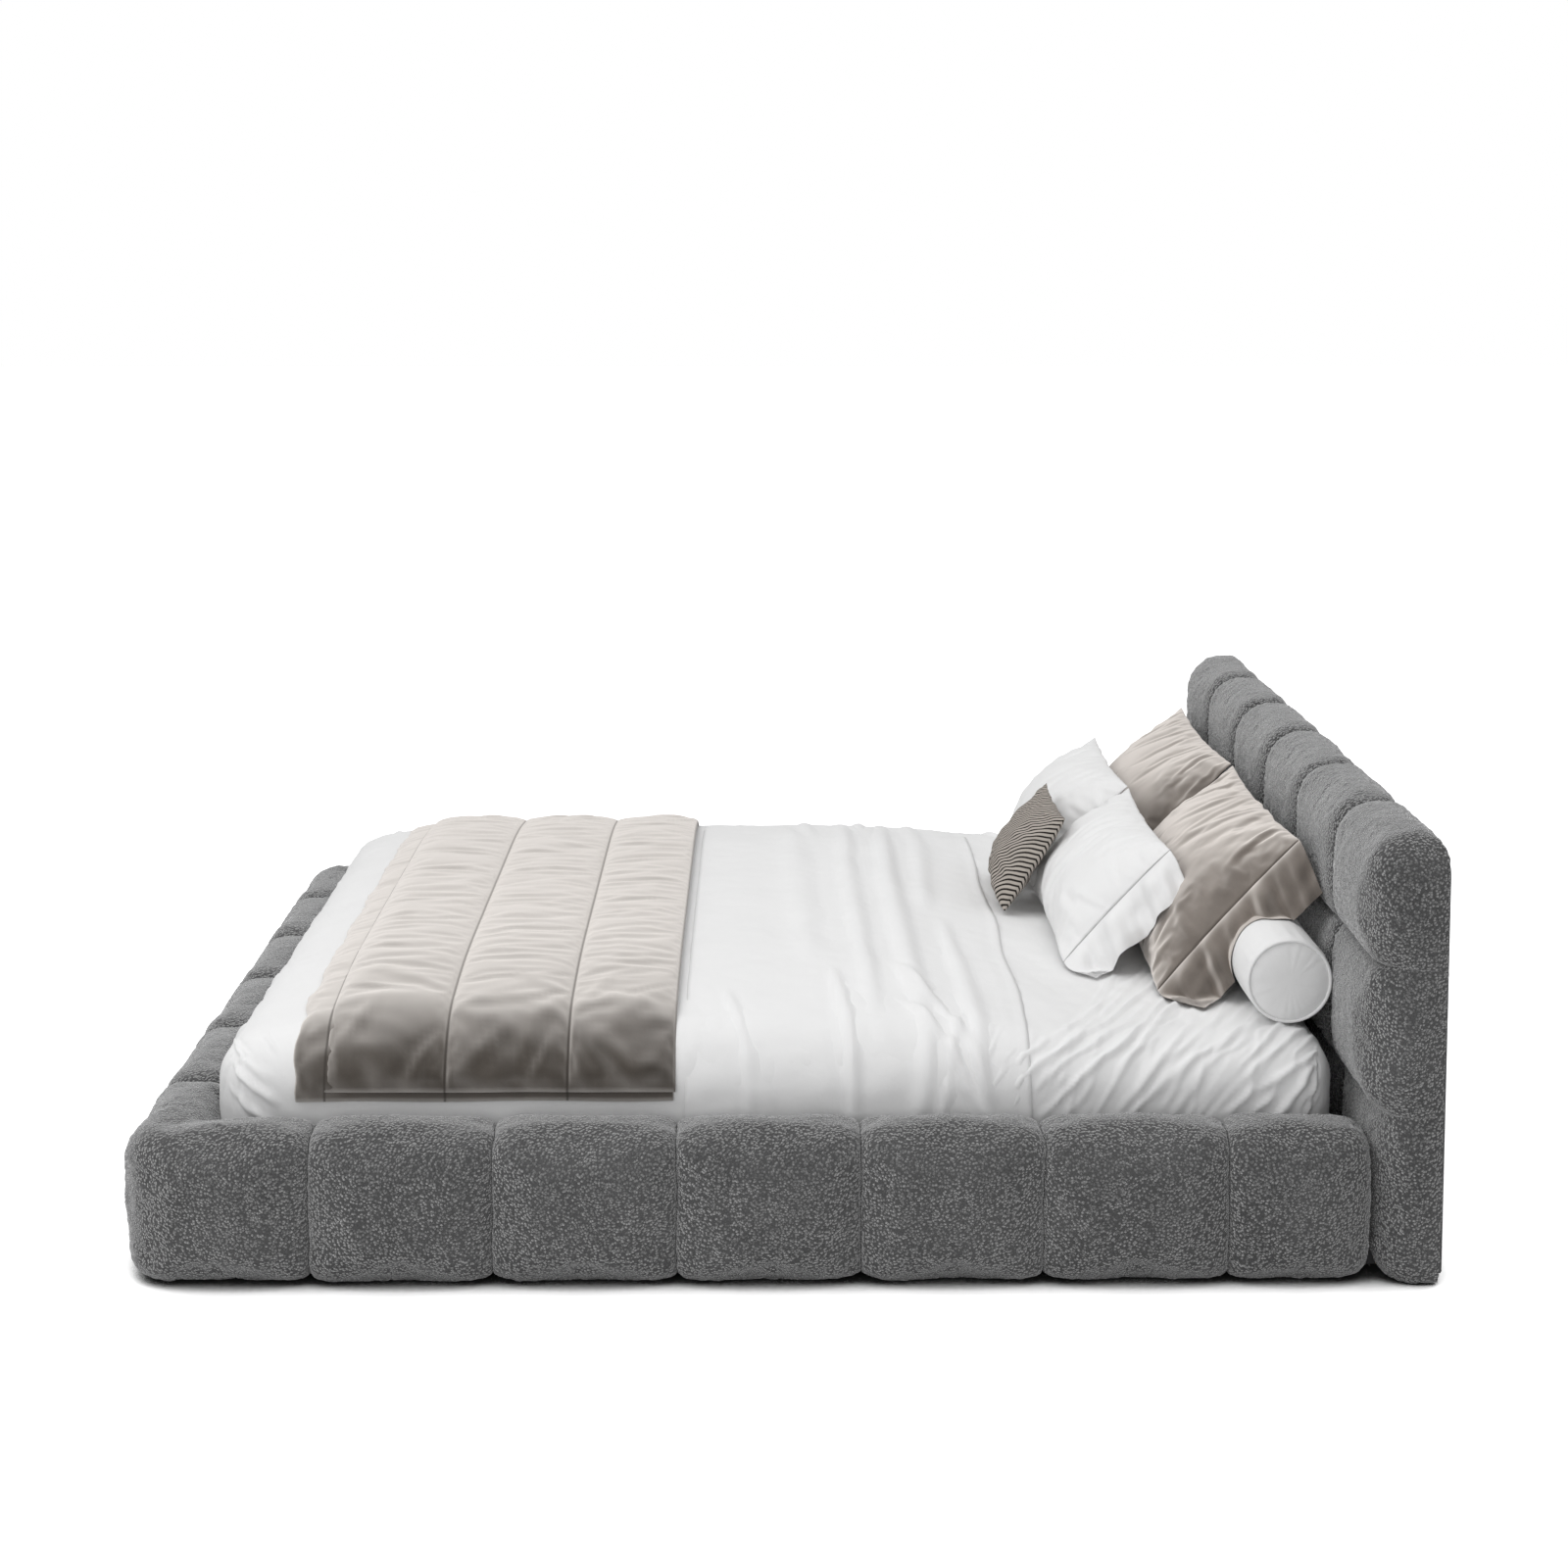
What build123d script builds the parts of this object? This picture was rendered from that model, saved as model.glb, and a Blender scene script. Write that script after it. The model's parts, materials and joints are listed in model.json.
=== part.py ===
from build123d import *

import os

os.makedirs("parts", exist_ok=True)

# Low upholstered bed, in millimetres.
# X runs across the bed, Y towards the headboard and Z up.
# The origin is on the floor, in the middle of the footprint.

# Driving dimensions
bed_width = 1890.0
bed_length = 2266.0
headboard_height = 788.0
rail_height = 275.0
rail_depth = 134.0
block_pitch = 315.0
corner_length = 325.0
seam_gap = 0.5
pad_clear = 12.0
rail_end_gap = 4.0

# Upholstered foam: thickness outside the timber, and where the inner flap of the cover ends
outer_foam = 70.0
flap_bottom = 155.0

# Timber of the rails
board_thickness = 30.0
board_bottom = 14.0
board_height = 190.0

# Headboard, from its flat back to its crowned front
headboard_panel = 6.0
headboard_timber = 38.0
headboard_ply = 12.0
crown_depth = 140.0
bottom_row_depth = 116.0
row_seams = (297.0, 555.0)
timber_half_width = 905.0
timber_top = 730.0
stile_width = 70.0

# Mattress and its linen
mattress_width = 1600.0
mattress_height = 230.0
mattress_bottom = 148.0
foot_gap = 5.0
head_gap = 2.0
linen = 2.0
top_sheet_thickness = 3.0
top_sheet_span = (-168.0, 443.0)
top_sheet_bottom = 215.0

# Slatted base
ledger_width = 30.0
ledger_height = 35.0
slat_width = 70.0
slat_thickness = 18.0
slat_count = 14
slat_pitch = 146.0
strap_width = 25.0
strap_thickness = 1.5
strap_offset = 520.0
beam_width = 60.0
beam_height = 40.0
leg_spacing = 650.0

# Steel fittings
plate = 4.0
bolt_diameter = 8.0
bolt_hole = 8.4
bolt_head_width = 13.0
bolt_head_height = 5.3

# Places that follow from the driving dimensions
half_width = bed_width / 2
foot_y = -bed_length / 2
head_y = bed_length / 2
rail_inner_x = half_width - rail_depth
foot_inner_y = foot_y + rail_depth
board_outer_x = half_width - outer_foam
board_inner_x = board_outer_x - board_thickness
foot_board_y = foot_y + outer_foam
foot_board_inner_y = foot_board_y + board_thickness
board_top = board_bottom + board_height
board_middle = board_bottom + board_height / 2
panel_front_y = head_y - headboard_panel
timber_front_y = panel_front_y - headboard_timber
ply_front_y = timber_front_y - headboard_ply
crown_y = head_y - crown_depth
bottom_row_y = head_y - bottom_row_depth
corner_seam_y = foot_y + corner_length
rail_end_y = bottom_row_y - rail_end_gap
mattress_foot_y = foot_inner_y + foot_gap
mattress_head_y = crown_y - head_gap
mattress_top = mattress_bottom + mattress_height
slat_bottom = mattress_bottom - slat_thickness
ledger_bottom = slat_bottom - ledger_height
beam_bottom = slat_bottom - beam_height

# Every made piece, by its name
pieces = {}


def keep(name, part):
    """Label a finished piece and note it for the export."""
    part.label = name
    pieces[name] = part


def box_between(low, high):
    """A box given by two opposite corners, as a part for adding or cutting."""
    size = [b - a for a, b in zip(low, high)]
    middle = tuple((a + b) / 2 for a, b in zip(low, high))
    with BuildPart() as block:
        with Locations(middle):
            Box(*size)
    return block.part


# Foam blocks under a tight cover
# A level is (depth, seam, bottom, top, corner): how far out it lies, how far its
# edges are drawn in there, and how much is cut off its corners.
rail_levels = (
    (0, 7, 8, 32, 7),
    (13, 1, 1, 13, 8),
    (42, 0, 0, 1, 9),
    (84, 0, 0, 2, 10),
    (114, 3, 6, 16, 12),
    (127, 9, 15, 32, 15),
    (134, 22, 32, 56, 20),
)
top_row_levels = (
    (0, 2, 0, 0, 11),
    (64, 0, 0, 4, 11),
    (98, 2, 1, 27, 12),
    (118, 7, 8, 54, 15),
    (129, 17, 19, 80, 20),
    (134, 36, 40, 108, 26),
)
middle_row_levels = (
    (0, 0, 0, 0, 6),
    (96, 0, 0, 0, 9),
    (118, 7, 8, 8, 14),
    (128, 17, 19, 19, 20),
    (134, 36, 40, 40, 28),
)
bottom_row_levels = (
    (0, 0, 0, 0, 6),
    (72, 0, 1, 0, 9),
    (96, 7, 12, 8, 14),
    (105, 17, 24, 19, 20),
    (110, 36, 46, 40, 28),
)


# Most of a block's width or height that a cut corner may take
corner_limit = 0.4


def puffed_block(back, width, height, levels, low_round=1.0, high_round=1.0):
    """One foam block: outlines with cut corners, stacked from its back plane to its crown.

    low_round and high_round enlarge the rounding of an end that meets no neighbour.
    """
    with BuildPart() as block:
        for depth, seam, bottom, top, corner in levels:
            low = -width / 2 + seam_gap / 2 + seam * low_round
            high = width / 2 - seam_gap / 2 - seam * high_round
            base = -height / 2 + bottom
            crest = height / 2 - top
            widest_corner = corner_limit * min(high - low, crest - base)
            with BuildSketch(back.offset(depth)) as outline:
                with Locations(((low + high) / 2, (base + crest) / 2)):
                    Rectangle(high - low, crest - base)
                low_end = outline.vertices().group_by(Axis.X)[0]
                high_end = outline.vertices().group_by(Axis.X)[-1]
                chamfer(low_end, min(corner * low_round, widest_corner))
                chamfer(high_end, min(corner * high_round, widest_corner))
        loft(ruled=True)
    return block.part


# Corner blocks of the foot end: the rails' section, turned round the corner.
# A level is (height, outer, inner, seam): its height and how far its sides are drawn in.
corner_levels = (
    (pad_clear, 26, 8, 8),
    (pad_clear + 15, 7, 0, 2),
    (pad_clear + 40, 0, 0, 0),
    (rail_height - 56, 0, 0, 0),
    (rail_height - 32, 7, 1, 2),
    (rail_height - 16, 20, 10, 6),
    (rail_height - 4, 44, 30, 13),
    (rail_height, 64, 46, 20),
)
outer_corner_radius = 78.0
small_corner = 8.0


def corner_block():
    """The block that wraps the foot corner on the +X side, as a stack of bent outlines."""
    with BuildPart() as block:
        for height, outer, inner, seam in corner_levels:
            side_x = half_width - outer
            front_y = foot_y + outer
            well_x = rail_inner_x + inner
            well_y = foot_inner_y - inner
            start_x = half_width - block_pitch + seam_gap / 2 + seam
            end_y = corner_seam_y - seam_gap / 2 - seam
            corners = (
                (start_x, front_y),
                (side_x, front_y),
                (side_x, end_y),
                (well_x, end_y),
                (well_x, well_y),
                (start_x, well_y),
            )
            with BuildSketch(Plane.XY.offset(height)) as outline:
                with BuildLine():
                    Polyline(*corners, close=True)
                make_face()
                turn = outline.vertices().sort_by_distance((half_width, foot_y))[0]
                fillet(turn, max(outer_corner_radius - outer, small_corner))
                ends = outline.vertices().group_by(Axis.X)[0] + outline.vertices().group_by(Axis.Y)[-1]
                chamfer(ends, small_corner)
        loft(ruled=True)
    return block.part


# Side rail pads: foam blocks that hang over the rail boards, rounder where they meet the headboard
head_end_round = 1.8


def rail_blocks():
    """The blocks of the +X rail, from the foot corner to the headboard."""
    blocks = []
    start = corner_seam_y
    while start < rail_end_y:
        end = min(start + block_pitch, rail_end_y)
        centre = ((start + end) / 2, (pad_clear + rail_height) / 2)
        back = Plane((rail_inner_x, *centre), x_dir=(0, 1, 0), z_dir=(1, 0, 0))
        head_round = head_end_round if end == rail_end_y else 1.0
        height = rail_height - pad_clear
        blocks.append(puffed_block(back, end - start, height, rail_levels, high_round=head_round))
        start = end
    return blocks


right_blocks = rail_blocks()
board_slot = box_between((board_inner_x, foot_y, 0), (board_outer_x, head_y, board_top))
under_flap = box_between((rail_inner_x - 1, foot_inner_y, 0), (board_inner_x, head_y, flap_bottom))
with BuildPart() as right_rail_pad:
    add(right_blocks)
    add(board_slot, mode=Mode.SUBTRACT)
    add(under_flap, mode=Mode.SUBTRACT)
keep("right_rail_pad", right_rail_pad.part)

with BuildPart() as left_rail_pad:
    mirror(right_rail_pad.part, about=Plane.YZ)
keep("left_rail_pad", left_rail_pad.part)

# Foot pad: straight blocks between two corner blocks
straight_foot_blocks = []
straight_count = round(bed_width / block_pitch) - 2
for index in range(straight_count):
    centre_x = (index - (straight_count - 1) / 2) * block_pitch
    foot_back = Plane(
        (centre_x, foot_inner_y, (pad_clear + rail_height) / 2), x_dir=(1, 0, 0), z_dir=(0, -1, 0)
    )
    straight_foot_blocks.append(
        puffed_block(foot_back, block_pitch, rail_height - pad_clear, rail_levels)
    )

right_corner = corner_block()
with BuildPart() as left_corner:
    mirror(right_corner, about=Plane.YZ)
foot_slot = box_between((-board_outer_x, foot_board_y, 0), (board_outer_x, foot_board_inner_y, board_top))
return_slots = [
    box_between((board_inner_x, foot_board_y, 0), (board_outer_x, corner_seam_y + 1, board_top)),
    box_between((-board_outer_x, foot_board_y, 0), (-board_inner_x, corner_seam_y + 1, board_top)),
]
under_foot_flap = box_between(
    (-board_inner_x, foot_board_inner_y, 0), (board_inner_x, corner_seam_y + 1, flap_bottom)
)
with BuildPart() as foot_pad:
    add(straight_foot_blocks)
    add([right_corner, left_corner.part])
    add(foot_slot, mode=Mode.SUBTRACT)
    add(return_slots, mode=Mode.SUBTRACT)
    add(under_foot_flap, mode=Mode.SUBTRACT)
keep("foot_pad", foot_pad.part)

# Headboard: a timber frame and plywood, three rows of foam blocks and a flat back panel
column_count = round(bed_width / block_pitch)
end_round = 1.7


def headboard_row(low, high, levels):
    """One row of blocks across the headboard, its end blocks rounder at the outside."""
    blocks = []
    for column in range(column_count):
        centre_x = (column - (column_count - 1) / 2) * block_pitch
        back = Plane(
            (centre_x, panel_front_y, (low + high) / 2), x_dir=(1, 0, 0), z_dir=(0, -1, 0)
        )
        low_round = end_round if column == 0 else 1.0
        high_round = end_round if column == column_count - 1 else 1.0
        blocks.append(puffed_block(back, block_pitch, high - low, levels, low_round, high_round))
    return blocks


timber_room = box_between(
    (-timber_half_width, ply_front_y, 0), (timber_half_width, head_y, timber_top)
)
top_row = headboard_row(row_seams[1] + seam_gap, headboard_height, top_row_levels)
with BuildPart() as headboard_blocks_top:
    add(top_row)
    add(timber_room, mode=Mode.SUBTRACT)
keep("headboard_blocks_top", headboard_blocks_top.part)

middle_row = headboard_row(row_seams[0] + seam_gap, row_seams[1], middle_row_levels)
with BuildPart() as headboard_blocks_middle:
    add(middle_row)
    add(timber_room, mode=Mode.SUBTRACT)
keep("headboard_blocks_middle", headboard_blocks_middle.part)

# The bottom row has pockets for the rail ends with their angles, and for the beam
angle_room = 50.0
board_side_room = 1.0
board_top_room = 2.0
beam_room_below = 12.0
beam_room_above = 6.0
pocket_inner_x = board_inner_x - angle_room
pocket_outer_x = board_outer_x + board_side_room
pocket_top = board_top + board_top_room
rail_pockets = [
    box_between((pocket_inner_x, crown_y, 0), (pocket_outer_x, ply_front_y, pocket_top)),
    box_between((-pocket_outer_x, crown_y, 0), (-pocket_inner_x, ply_front_y, pocket_top)),
]
beam_pocket = box_between(
    (-beam_width, crown_y, beam_bottom - beam_room_below),
    (beam_width, ply_front_y, slat_bottom + beam_room_above),
)
bottom_row = headboard_row(pad_clear, row_seams[0], bottom_row_levels)
with BuildPart() as headboard_blocks_bottom:
    add(bottom_row)
    add(timber_room, mode=Mode.SUBTRACT)
    add(rail_pockets, mode=Mode.SUBTRACT)
    add(beam_pocket, mode=Mode.SUBTRACT)
keep("headboard_blocks_bottom", headboard_blocks_bottom.part)

panel_margin = 10.0
with BuildPart() as headboard_back_panel:
    with BuildSketch(Plane.XZ.offset(-head_y)):
        with Locations((0, (pad_clear + headboard_height) / 2)):
            Rectangle(bed_width - 2 * panel_margin, headboard_height - pad_clear - 2 * panel_margin)
    extrude(amount=headboard_panel)
keep("headboard_back_panel", headboard_back_panel.part)

# Fittings: where the bolts of the head angles and the foot joint plates stand
angle_leg = 44.0
angle_low = 60.0
angle_high = 180.0
angle_bolt_height = 120.0
angle_bolt_y = ply_front_y - 36
angle_bolt_x = board_inner_x - 27
angle_long_leg = 1.25 * angle_leg
bolt_grip = plate + board_thickness - 4
head_bolt_grip = plate + headboard_ply + headboard_timber - 4
plate_corner = 8.0
joint_half_length = 60.0
joint_low = 34.0
joint_high = 90.0
joint_bolt_offsets = (-38.0, 38.0)
joint_bolt_height = 62.0
angle_rail_bolts = [(angle_bolt_y, angle_bolt_height)]
angle_head_bolts = [(angle_bolt_x, angle_bolt_height)]
joint_bolts = [(corner_seam_y + dy, joint_bolt_height) for dy in joint_bolt_offsets]

with BuildPart() as headboard_plywood:
    with BuildSketch(Plane.XZ.offset(-timber_front_y)):
        with Locations((0, (board_bottom + timber_top) / 2)):
            Rectangle(2 * timber_half_width, timber_top - board_bottom)
        for x, z in angle_head_bolts:
            with Locations((x, z), (-x, z)):
                Circle(bolt_hole / 2, mode=Mode.SUBTRACT)
    extrude(amount=headboard_ply)
keep("headboard_plywood", headboard_plywood.part)

stile_x = timber_half_width - stile_width / 2
inner_stile_x = 300.0
low_cross_height = 119.0
middle_cross_height = 407.0
cross_heights = (low_cross_height, middle_cross_height, timber_top - stile_width / 2)
with BuildPart() as headboard_timbers:
    with BuildSketch(Plane.XZ.offset(-panel_front_y)):
        with Locations((stile_x, (board_bottom + timber_top) / 2), (-stile_x, (board_bottom + timber_top) / 2)):
            Rectangle(stile_width - seam_gap, timber_top - board_bottom)
        for height in cross_heights:
            with Locations((0, height)):
                Rectangle(2 * timber_half_width - 2 * stile_width - seam_gap, stile_width)
        for lower, upper in zip(cross_heights, cross_heights[1:]):
            between = upper - lower - stile_width - seam_gap
            with Locations((inner_stile_x, (lower + upper) / 2), (-inner_stile_x, (lower + upper) / 2)):
                Rectangle(stile_width, between)
        for x, z in angle_head_bolts:
            with Locations((x, z), (-x, z)):
                Circle(bolt_hole / 2, mode=Mode.SUBTRACT)
    extrude(amount=headboard_timber)
keep("headboard_timbers", headboard_timbers.part)

# Rail boards, foot board and its two returns
with BuildPart() as right_rail_board:
    with BuildSketch(Plane.YZ.offset(board_inner_x)):
        with Locations(((corner_seam_y + ply_front_y) / 2, board_middle)):
            Rectangle(ply_front_y - corner_seam_y - seam_gap, board_height)
        with Locations(*angle_rail_bolts, *[b for b in joint_bolts if b[0] > corner_seam_y]):
            Circle(bolt_hole / 2, mode=Mode.SUBTRACT)
    extrude(amount=board_thickness)
keep("right_rail_board", right_rail_board.part)

with BuildPart() as left_rail_board:
    mirror(right_rail_board.part, about=Plane.YZ)
keep("left_rail_board", left_rail_board.part)

with BuildPart() as foot_board:
    with Locations((0, (foot_board_y + foot_board_inner_y) / 2, board_middle)):
        Box(2 * board_outer_x, board_thickness, board_height)
keep("foot_board", foot_board.part)

with BuildPart() as foot_returns:
    with BuildSketch(Plane.YZ.offset(board_inner_x)):
        with Locations(((foot_board_inner_y + corner_seam_y) / 2, board_middle)):
            Rectangle(corner_seam_y - foot_board_inner_y - seam_gap, board_height)
        with Locations(*[b for b in joint_bolts if b[0] < corner_seam_y]):
            Circle(bolt_hole / 2, mode=Mode.SUBTRACT)
    extrude(amount=board_thickness)
    mirror(about=Plane.YZ)
keep("foot_returns", foot_returns.part)


# Bolts with hex heads
def hex_bolt(face, length):
    """A bolt whose head stands on the plane face, with its shank behind it."""
    with BuildPart() as bolt:
        with BuildSketch(face):
            RegularPolygon(bolt_head_width / 2, 6, major_radius=False)
        extrude(amount=bolt_head_height)
        with BuildSketch(face):
            Circle(bolt_diameter / 2)
        extrude(amount=-length)
    return bolt.part


plate_face_x = board_inner_x - plate
into_board = Plane((plate_face_x, 0, 0), x_dir=(0, -1, 0), z_dir=(-1, 0, 0))
into_headboard = Plane((0, ply_front_y - plate, 0), x_dir=(1, 0, 0), z_dir=(0, -1, 0))

right_joint_bolts = [
    hex_bolt(Plane((plate_face_x, y, z), x_dir=into_board.x_dir, z_dir=into_board.z_dir), bolt_grip)
    for y, z in joint_bolts
]
with BuildPart() as foot_joint_bolts:
    add(right_joint_bolts)
    mirror(about=Plane.YZ)
keep("foot_joint_bolts", foot_joint_bolts.part)

right_angle_bolts = [
    hex_bolt(Plane((plate_face_x, y, z), x_dir=into_board.x_dir, z_dir=into_board.z_dir), bolt_grip)
    for y, z in angle_rail_bolts
] + [
    hex_bolt(
        Plane((x, ply_front_y - plate, z), x_dir=into_headboard.x_dir, z_dir=into_headboard.z_dir),
        head_bolt_grip,
    )
    for x, z in angle_head_bolts
]
with BuildPart() as head_angle_bolts:
    add(right_angle_bolts)
    mirror(about=Plane.YZ)
keep("head_angle_bolts", head_angle_bolts.part)

# Steel plates that join the rails to the foot end, and angles that join them to the headboard
with BuildPart() as foot_joint_plates:
    with BuildSketch(Plane.YZ.offset(plate_face_x)):
        with Locations((corner_seam_y, (joint_low + joint_high) / 2)):
            RectangleRounded(2 * joint_half_length, joint_high - joint_low, plate_corner)
        with Locations(*joint_bolts):
            Circle(bolt_hole / 2, mode=Mode.SUBTRACT)
    extrude(amount=plate)
    mirror(about=Plane.YZ)
keep("foot_joint_plates", foot_joint_plates.part)

with BuildPart() as head_angles:
    with BuildSketch(Plane.XY.offset(angle_low)):
        with BuildLine():
            Polyline(
                (board_inner_x, ply_front_y),
                (board_inner_x - angle_leg, ply_front_y),
                (board_inner_x - angle_leg, ply_front_y - plate),
                (plate_face_x, ply_front_y - plate),
                (plate_face_x, ply_front_y - angle_long_leg),
                (board_inner_x, ply_front_y - angle_long_leg),
                close=True,
            )
        make_face()
    extrude(amount=angle_high - angle_low)
    for y, z in angle_rail_bolts:
        with Locations(Plane((plate_face_x, y, z), z_dir=(-1, 0, 0))):
            Hole(bolt_hole / 2, depth=plate)
    for x, z in angle_head_bolts:
        with Locations(Plane((x, ply_front_y - plate, z), z_dir=(0, -1, 0))):
            Hole(bolt_hole / 2, depth=plate)
    mirror(about=Plane.YZ)
keep("head_angles", head_angles.part)

# Slatted base: ledgers, a centre beam on hangers and legs, and slats on straps
ledger_end_gap = 20.0
ledger_foot_y = foot_board_inner_y + ledger_end_gap
ledger_head_y = bottom_row_y - ledger_end_gap
ledger_middle_z = ledger_bottom + ledger_height / 2
ledger_centre_y = (ledger_foot_y + ledger_head_y) / 2
with BuildPart() as right_ledger:
    with Locations((board_inner_x - ledger_width / 2, ledger_centre_y, ledger_middle_z)):
        Box(ledger_width, ledger_head_y - ledger_foot_y, ledger_height)
keep("right_ledger", right_ledger.part)

with BuildPart() as left_ledger:
    mirror(right_ledger.part, about=Plane.YZ)
keep("left_ledger", left_ledger.part)

hanger_wall = 3.0
hanger_length = 44.0
hanger_flange = 96.0
flange_below_slats = 2.0
cradle_below_slats = 8.0
beam_end_room = 60.0
beam_foot_y = foot_board_inner_y + hanger_wall
beam_head_y = ply_front_y - hanger_wall
with BuildPart() as centre_beam:
    with BuildSketch(Plane.XZ.offset(-beam_foot_y)):
        with Locations((0, beam_bottom + beam_height / 2)):
            Rectangle(beam_width, beam_height)
    extrude(amount=beam_foot_y - beam_head_y)
keep("centre_beam", centre_beam.part)


def beam_hanger(wall_y, inwards):
    """A bent steel stirrup: a flange on the wall and a cradle under the beam's end."""
    cradle_x = beam_width / 2 + hanger_wall
    floor_z = beam_bottom - hanger_wall
    flange = box_between(
        (-hanger_flange / 2, min(wall_y, wall_y + inwards * hanger_wall), floor_z),
        (hanger_flange / 2, max(wall_y, wall_y + inwards * hanger_wall), slat_bottom - flange_below_slats),
    )
    cradle = box_between(
        (-cradle_x, min(wall_y, wall_y + inwards * hanger_length), floor_z),
        (cradle_x, max(wall_y, wall_y + inwards * hanger_length), slat_bottom - cradle_below_slats),
    )
    room = box_between(
        (-beam_width / 2, min(wall_y + inwards * hanger_wall, wall_y + inwards * beam_end_room), beam_bottom),
        (beam_width / 2, max(wall_y + inwards * hanger_wall, wall_y + inwards * beam_end_room), slat_bottom),
    )
    with BuildPart() as hanger:
        add([flange, cradle])
        add(room, mode=Mode.SUBTRACT)
    return hanger.part


foot_hanger = beam_hanger(foot_board_inner_y, 1)
head_hanger = beam_hanger(ply_front_y, -1)
with BuildPart() as beam_hangers:
    add([foot_hanger, head_hanger])
keep("beam_hangers", beam_hangers.part)

leg_places = [(0, offset, 0) for offset in (-leg_spacing, 0, leg_spacing)]
leg_pad_height = 8.0
leg_pad_inset = 3.0
leg_width = 46.0
leg_pad_width = leg_width - 2 * leg_pad_inset
with BuildPart() as centre_legs:
    for place in leg_places:
        with BuildSketch(Plane(place).offset(leg_pad_height)):
            Rectangle(leg_width, leg_width)
        extrude(amount=beam_bottom - leg_pad_height)
keep("centre_legs", centre_legs.part)

with BuildPart() as centre_leg_pads:
    for place in leg_places:
        with BuildSketch(Plane(place)):
            Rectangle(leg_pad_width, leg_pad_width)
        extrude(amount=leg_pad_height)
keep("centre_leg_pads", centre_leg_pads.part)

slat_end_gap = 4.0
slat_reach = board_inner_x - slat_end_gap
with BuildPart() as slats:
    for index in range(slat_count):
        slat_y = (index - (slat_count - 1) / 2) * slat_pitch
        with BuildSketch(Plane.YZ.offset(-slat_reach)):
            with Locations((slat_y, slat_bottom + slat_thickness / 2)):
                Rectangle(slat_width, slat_thickness)
        extrude(amount=2 * slat_reach)
keep("slats", slats.part)

strap_length = (slat_count - 1) * slat_pitch + slat_width
with BuildPart() as slat_straps:
    with Locations((strap_offset, 0, slat_bottom), (-strap_offset, 0, slat_bottom)):
        Box(strap_width, strap_length, strap_thickness, align=(Align.CENTER, Align.CENTER, Align.MAX))
keep("slat_straps", slat_straps.part)


# Nylon glides under the rails and the headboard
glide_width = 28.0
glide_edge = 3.0


def glides(places):
    """Low square glides, narrower where they meet the floor."""
    with BuildPart() as feet:
        for x, y in places:
            with BuildSketch(Plane((x, y, 0))):
                Rectangle(glide_width - 2 * glide_edge, glide_width - 2 * glide_edge)
            with BuildSketch(Plane((x, y, glide_edge))):
                Rectangle(glide_width, glide_width)
            with BuildSketch(Plane((x, y, board_bottom))):
                Rectangle(glide_width, glide_width)
            loft(ruled=True)
    return feet.part


board_middle_x = (board_inner_x + board_outer_x) / 2
foot_middle_y = (foot_board_y + foot_board_inner_y) / 2
rail_glide_stations = (-600.0, 150.0, 900.0)
foot_glide_stations = (-760.0, 0.0, 760.0)
rail_glide_places = [(sign * board_middle_x, y) for sign in (-1, 1) for y in rail_glide_stations]
foot_glide_places = [(x, foot_middle_y) for x in foot_glide_stations]
keep("rail_glides", glides(rail_glide_places + foot_glide_places))

headboard_glide_y = (timber_front_y + panel_front_y) / 2
keep("headboard_glides", glides([(-stile_x, headboard_glide_y), (stile_x, headboard_glide_y)]))

# Mattress, fitted sheet and top sheet
# A level is (height, inset, corner): an outline with cut corners above the mattress's underside.
mattress_levels = (
    (0, 24, 30),
    (24, 0, 38),
    (188, 0, 38),
    (216, 10, 42),
    (mattress_height, 48, 52),
    (mattress_height + 4, 300, 120),
)
mattress_length = mattress_head_y - mattress_foot_y
mattress_centre_y = (mattress_foot_y + mattress_head_y) / 2


def mattress_stack(levels, skin):
    """The mattress's outlines stacked up, let out by a skin's thickness."""
    with BuildPart() as stack:
        for height, inset, corner in levels:
            lift = skin if height >= mattress_height else 0
            with BuildSketch(Plane.XY.offset(mattress_bottom + height + lift)) as outline:
                with Locations((0, mattress_centre_y)):
                    Rectangle(
                        mattress_width + 2 * (skin - inset), mattress_length + 2 * (skin - inset)
                    )
                chamfer(outline.vertices(), corner)
        loft(ruled=True)
    return stack.part


mattress = mattress_stack(mattress_levels, 0)
keep("mattress", mattress)

sheet_envelope = mattress_stack(mattress_levels[1:], linen)
with BuildPart() as fitted_sheet:
    add(sheet_envelope)
    add(mattress, mode=Mode.SUBTRACT)
keep("fitted_sheet", fitted_sheet.part)


def bed_profile(skin, bottom):
    """Half outline of the made bed over the mattress, from the side's lower edge to the middle."""
    points = [(mattress_width / 2 + skin, bottom)]
    for height, inset, corner in mattress_levels[2:]:
        lift = skin if height >= mattress_height else 0
        points.append((mattress_width / 2 + skin - inset, mattress_bottom + height + lift))
    return points


def bed_band(outer, inner, bottom):
    """Points of a band that lies over the bed, between two thicknesses above the mattress."""
    over = bed_profile(outer, bottom)
    under = bed_profile(inner, bottom)
    left_over = [(-x, z) for x, z in reversed(over)]
    left_under = [(-x, z) for x, z in reversed(under)]
    return [*over, *left_over, *reversed(left_under), *reversed(under)]


top_sheet_skin = linen + top_sheet_thickness
with BuildPart() as top_sheet:
    with BuildSketch(Plane.XZ.offset(-top_sheet_span[1])):
        with BuildLine():
            Polyline(*bed_band(top_sheet_skin, linen, top_sheet_bottom), close=True)
        make_face()
    extrude(amount=top_sheet_span[1] - top_sheet_span[0])
keep("top_sheet", top_sheet.part)

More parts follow.
